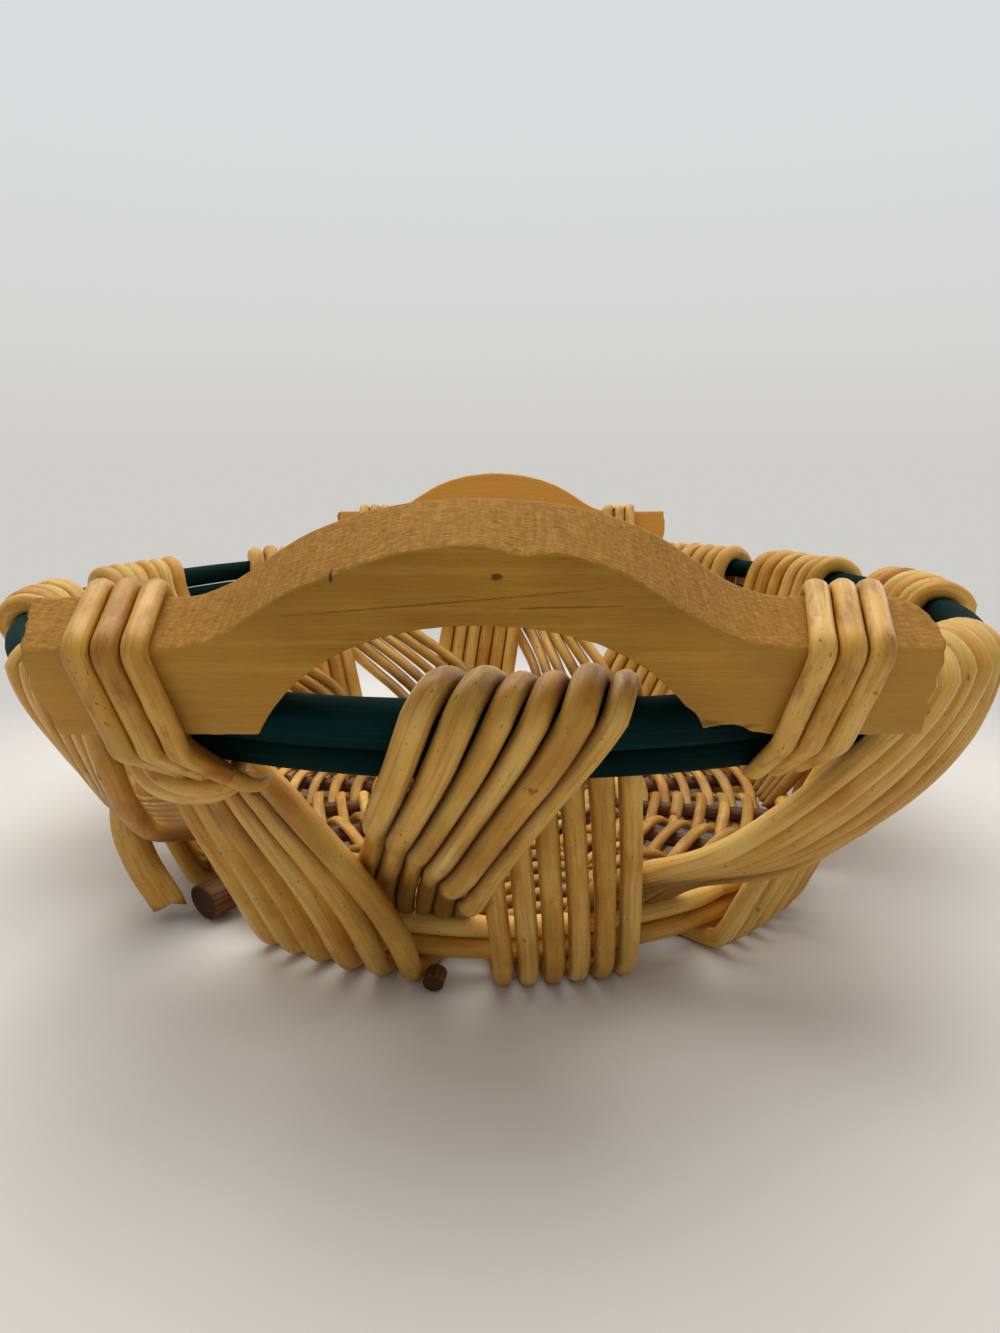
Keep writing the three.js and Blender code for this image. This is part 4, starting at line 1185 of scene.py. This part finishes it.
def lash_spot(x, middle, facing, off):
    """The outermost place round a handle's end and both hoops in one direction, moved
    out by the lashing's own half thickness, and the way that it faces."""
    c, s = math.cos(facing), math.sin(facing)
    away = np.sign(middle)
    best = -math.inf
    for up, back in ((0, 0), (1, 0), (1, 1), (0, 1)):
        out, z = handle_place(up * HANDLE_END, back * HANDLE_THICKNESS, middle)
        if out * c + z * s > best:
            best = out * c + z * s
            spot = np.array([x, away * (out + off * c), z + off * s])
            face = np.array([0, away * c, s])
    for hoop in (upper_hoop, lower_hoop):
        r, out, _ = hoop(middle - away * math.degrees(x / RIM_RADIUS))
        angle = away * math.degrees(math.acos(x / (out + (r + off) * c)))
        r, out, z = hoop(angle)
        reach = out * math.sin(abs(math.radians(angle))) * c + z * s + r
        if reach > best:
            best = reach
            face = polar(angle, c, s)
            spot = polar(angle, out, z) + face * (r + off)
    return spot, face


# One turn of a lashing: the direction that each point faces, in degrees up from straight
# out, whose drift along the handle it has, and its share of the way to the next turn
LASH_TURN = [
    (122, "start", 0), (98, "start", 0), (76, "start", 0),
    (60, "top", 0), (23, "top", 0), (-14, "top", 0),
    (-28, "low", 0), (-44, "low", 0),
    (-78, "hoops", 0), (-99, "hoops", 0), (-120, "hoops", 0), (-142, "hoops", 0),
    (-165, "hoops", 0.1), (-188, "hoops", 0.25), (-211, "hoops", 0.4),
]
# Each lashing's handle and end, the end's way along x, its drifts in millimetres, and
# how far it hangs slack below the hoops
DRIFTS = ("start", "top", "low", "hoops")
LASHINGS = (
    ("front", "left", -1, (0, 3, 7, 11), 3),
    ("front", "right", 1, (-2, 3, 7, 5), 0),
    ("back", "left", -1, (0, 3, 6, 8), 0),
    ("back", "right", 1, (0, 3, 6, 8), 0),
)
# The middle and the reach of the slack, in degrees
SLACK_MIDDLE, SLACK_REACH = -72, 38

# A lashing rod's tails, worked back under its own turns: places in millimetres, and the
# radius
TAILS = {("front", "left"): (
    (((-82, -156, 90), (-75, -159.5, 86.5), (-71, -161.5, 84.3), (-65, -164.3, 81.6),
      (-60, -166.3, 79.6), (-57, -165, 78.6), (-56, -160, 79.5)), 2.4),
    (((-99, -141, 88), (-94, -148.5, 80.5), (-90.7, -151, 76.3), (-85.7, -154, 74),
      (-77, -158.3, 74.3), (-68, -162, 76.3), (-64, -161, 77.5), (-62, -157, 80)), 2.6),
    (((-94, -147, 90), (-89.5, -152, 81), (-85, -155.5, 78), (-78.5, -159.5, 77),
      (-70, -163.5, 78), (-64, -165, 79), (-61, -161, 79.5)), 2.5),
)}


class BASKET_OT_lashings(bpy.types.Operator):
    """Winds the four lashings round the handles' ends and the hoops"""
    bl_idname = "basket.lashings"
    bl_label = "Lashings"

    def execute(self, context):
        sizes = context.scene.basket_sizes
        material = willow_material("buff_willow_lashing", context.scene.basket_colours)
        off = sizes.lashing_thickness / 2
        steps = len(LASH_TURN)
        for number, (end, side, hand, drifts, slack) in enumerate(LASHINGS):
            middle, shift = [(m, s) for n, m, s in HANDLES if n == end][0]
            drifts = dict(zip(DRIFTS, drifts))
            first = LASH_OFFSET[end] + (LASH_TURNS - 1) / 2 * LASH_PITCH
            spots, faces = [], []
            for k in range(-4, LASH_TURNS * steps - 3):
                turn = k // steps
                facing, drift, back = LASH_TURN[k - turn * steps]
                step = lerp(drifts[drift], LASH_PITCH / MM + drifts["start"], back) * MM
                x = shift + hand * (first - turn * LASH_PITCH - step)
                loose = slack * MM * math.exp(-((facing - SLACK_MIDDLE) / SLACK_REACH) ** 2)
                spot, face = lash_spot(x, middle, math.radians(facing), off + loose)
                spots.append(spot)
                faces.append(face)
            line, places = resample(spots, 1.4 * MM)
            normals = np.stack([np.interp(places, distances(spots), way)
                                for way in np.transpose(faces)], 1)
            rng = np.random.RandomState(SEEDS["lashings"] + number)
            skin = Skin()
            skin.tube(relax(line, 2), sizes.lashing_width / 2, rng, sides=16, normals=normals,
                      flat=sizes.lashing_thickness / sizes.lashing_width, lumps=0.03,
                      scars=sizes.scar_spacing, slant=0.6, aged=0.15)
            for tail, radius in TAILS.get((end, side), ()):
                tail, along = resample(np.array(tail) * MM, 1.6 * MM)
                thin = np.interp(along[-1] - along, [0, 12 * MM], [0.5, 1])
                skin.tube(relax(tail, 8), radius * MM * thin, rng, sides=14, lumps=0.03,
                          scars=sizes.scar_spacing * 0.6, slant=0.8)
            skin.piece(f"binding_{end}_{side}", material, "pale_willow", f"lashing_{end}_{side}")
        return {"FINISHED"}


# ---------------------------------------------------------------- stage

# The even tone into which the table fades and from which the backdrop rises
EVEN_TONE = "#CFCDC8"
# How far from the basket's middle, in metres, the table starts and ends fading
FADE_START, FADE_END = 0.18, 0.42
TABLE_HALF = 8.0


def painted_table(tree, colours):
    """A matt, pale painted table top, faintly mottled. Away from the basket it fades, for
    the camera, into the even tone of the backdrop, so that no edge of the table shows."""
    place = add_node(tree, "ShaderNodeTexCoord").outputs["Object"]
    far = add_node(tree, "ShaderNodeVectorMath", {0: place}, operation="LENGTH")
    fade = add_node(tree, "ShaderNodeMapRange", {
        "Value": far.outputs["Value"], "From Min": FADE_START, "From Max": FADE_END},
        interpolation_type="SMOOTHSTEP")
    mottle = add_node(tree, "ShaderNodeTexNoise", {"Vector": place, "Scale": 3.0, "Detail": 2.0})
    tone = add_node(tree, "ShaderNodeMix", {
        "Factor": mottle.outputs["Fac"], "A": colours.floor, "B": "#E3E1DD"}, data_type="RGBA")
    shader = add_node(tree, "ShaderNodeBsdfPrincipled", {
        "Base Color": tone.outputs["Result"], "Roughness": 0.6, "IOR": 1.4,
        "Specular IOR Level": 0.15})
    even = add_node(tree, "ShaderNodeEmission", {"Color": EVEN_TONE})
    seen = add_node(tree, "ShaderNodeLightPath").outputs["Is Camera Ray"]
    share = add_node(tree, "ShaderNodeMath", {0: seen, 1: fade.outputs["Result"]},
                     operation="MULTIPLY")
    mixed = add_node(tree, "ShaderNodeMixShader", {
        0: share.outputs[0], 1: shader.outputs["BSDF"], 2: even.outputs["Emission"]})
    add_node(tree, "ShaderNodeOutputMaterial", {"Surface": mixed.outputs["Shader"]})


def studio_world(colours):
    """A white tent: soft light from all round, brighter overhead and behind. The camera
    sees the backdrop's own pale tones."""
    world = bpy.data.worlds.new("studio")
    world.use_nodes = True
    tree = world.node_tree
    tree.nodes.clear()
    place = add_node(tree, "ShaderNodeTexCoord").outputs["Generated"]
    height = add_node(tree, "ShaderNodeSeparateXYZ", {0: place}).outputs["Z"]
    facing = add_node(tree, "ShaderNodeVectorMath", {0: place, 1: (0.0, 0.6, 0.8)},
                      operation="DOT_PRODUCT").outputs["Value"]
    tent, backdrop = (
        add_node(tree, "ShaderNodeBackground", {"Strength": 1.0, "Color": add_node(
            tree, "ShaderNodeValToRGB", {"Fac": value}, stops).outputs["Color"]}).outputs[0]
        for value, stops in (
            (facing, ((0.0, 0.34), (0.9, 0.84))),
            (height, ((0.0, EVEN_TONE), (0.12, "#D6D6D5"), (0.32, colours.wall),
                      (0.8, "#D9DADD")))))
    seen = add_node(tree, "ShaderNodeLightPath").outputs["Is Camera Ray"]
    mixed = add_node(tree, "ShaderNodeMixShader", {0: seen, 1: tent, 2: backdrop})
    add_node(tree, "ShaderNodeOutputWorld", {"Surface": mixed.outputs["Shader"]})
    return world


CAMERA_PLACE = (0.5 * MM, -371.1 * MM, 155.8 * MM)
CAMERA_DOWN = 12.87
CAMERA_FOCAL = 904
IMAGE_HEIGHT = 1333
SENSOR_WIDTH = 36
# The lamps' names, places, aims, widths in metres, powers in watts and colours
LAMPS = (
    ("lamp_above", (-0.15, 0.4, 1.6), (0, 0, 0.05), 1.7, 22.0, "#FFFAF2"),
    ("lamp_side", (1.3, 0.9, 0.8), (0, 0, 0.08), 0.8, 3.0, "#F2F6FF"),
)


class BASKET_OT_stage(bpy.types.Operator):
    """Sets the table, the backdrop, the lamps and the camera"""
    bl_idname = "basket.stage"
    bl_label = "Stage"

    def execute(self, context):
        scene = context.scene
        scene.view_settings.view_transform = "Standard"

        camera = bpy.data.objects.new("camera", bpy.data.cameras.new("camera"))
        scene.collection.objects.link(camera)
        camera.location = CAMERA_PLACE
        camera.rotation_euler = (math.radians(90 - CAMERA_DOWN), 0, 0)
        camera.data.sensor_width = SENSOR_WIDTH
        camera.data.lens = SENSOR_WIDTH * CAMERA_FOCAL / IMAGE_HEIGHT
        camera.data.clip_start = 0.01
        scene.camera = camera

        mesh = bpy.data.meshes.new("table_top")
        corners = [(x * TABLE_HALF, y * TABLE_HALF, 0)
                   for x, y in ((-1, -1), (1, -1), (1, 1), (-1, 1))]
        mesh.from_pydata(corners, [], [(0, 1, 2, 3)])
        table = bpy.data.objects.new("table_top", mesh)
        mesh.materials.append(make_material(
            "pale_painted_table", painted_table, scene.basket_colours))
        scene.collection.objects.link(table)
        scene.world = studio_world(scene.basket_colours)

        for name, place, target, width, power, colour in LAMPS:
            light = bpy.data.lights.new(name, "AREA")
            light.size = width
            light.energy = power
            light.color = linear(colour)
            lamp = bpy.data.objects.new(name, light)
            lamp.location = place
            aim = Vector(target) - Vector(place)
            lamp.rotation_euler = aim.to_track_quat("-Z", "Y").to_euler()
            scene.collection.objects.link(lamp)
        return {"FINISHED"}


OPERATORS = (BASKET_OT_stage, BASKET_OT_rim_hoops, BASKET_OT_base_border,
             BASKET_OT_base_sticks, BASKET_OT_base_weave, BASKET_OT_stakes,
             BASKET_OT_handles, BASKET_OT_lashings)


class BASKET_PT_panel(bpy.types.Panel):
    """Lists the basket's pieces, with their sizes and colours"""
    bl_idname = "BASKET_PT_panel"
    bl_label = "Willow basket"
    bl_space_type = "VIEW_3D"
    bl_region_type = "UI"
    bl_category = "Basket"

    def draw(self, context):
        column = self.layout.column()
        for operator in OPERATORS:
            column.operator(operator.bl_idname)
        for group in (context.scene.basket_sizes, context.scene.basket_colours):
            for key in group.__annotations__:
                column.prop(group, key)


CLASSES = (BasketSizes, BasketColours, *OPERATORS, BASKET_PT_panel)


def register():
    for cls in CLASSES:
        bpy.utils.register_class(cls)
    bpy.types.Scene.basket_sizes = PointerProperty(type=BasketSizes)
    bpy.types.Scene.basket_colours = PointerProperty(type=BasketColours)


def unregister():
    del bpy.types.Scene.basket_colours
    del bpy.types.Scene.basket_sizes
    for cls in reversed(CLASSES):
        bpy.utils.unregister_class(cls)


def main():
    register()
    bpy.ops.basket.stage()
    bpy.ops.basket.rim_hoops()
    bpy.ops.basket.base_border()
    bpy.ops.basket.base_sticks()
    bpy.ops.basket.base_weave()
    bpy.ops.basket.stakes()
    bpy.ops.basket.handles()
    bpy.ops.basket.lashings()


if __name__ == "__main__":
    main()
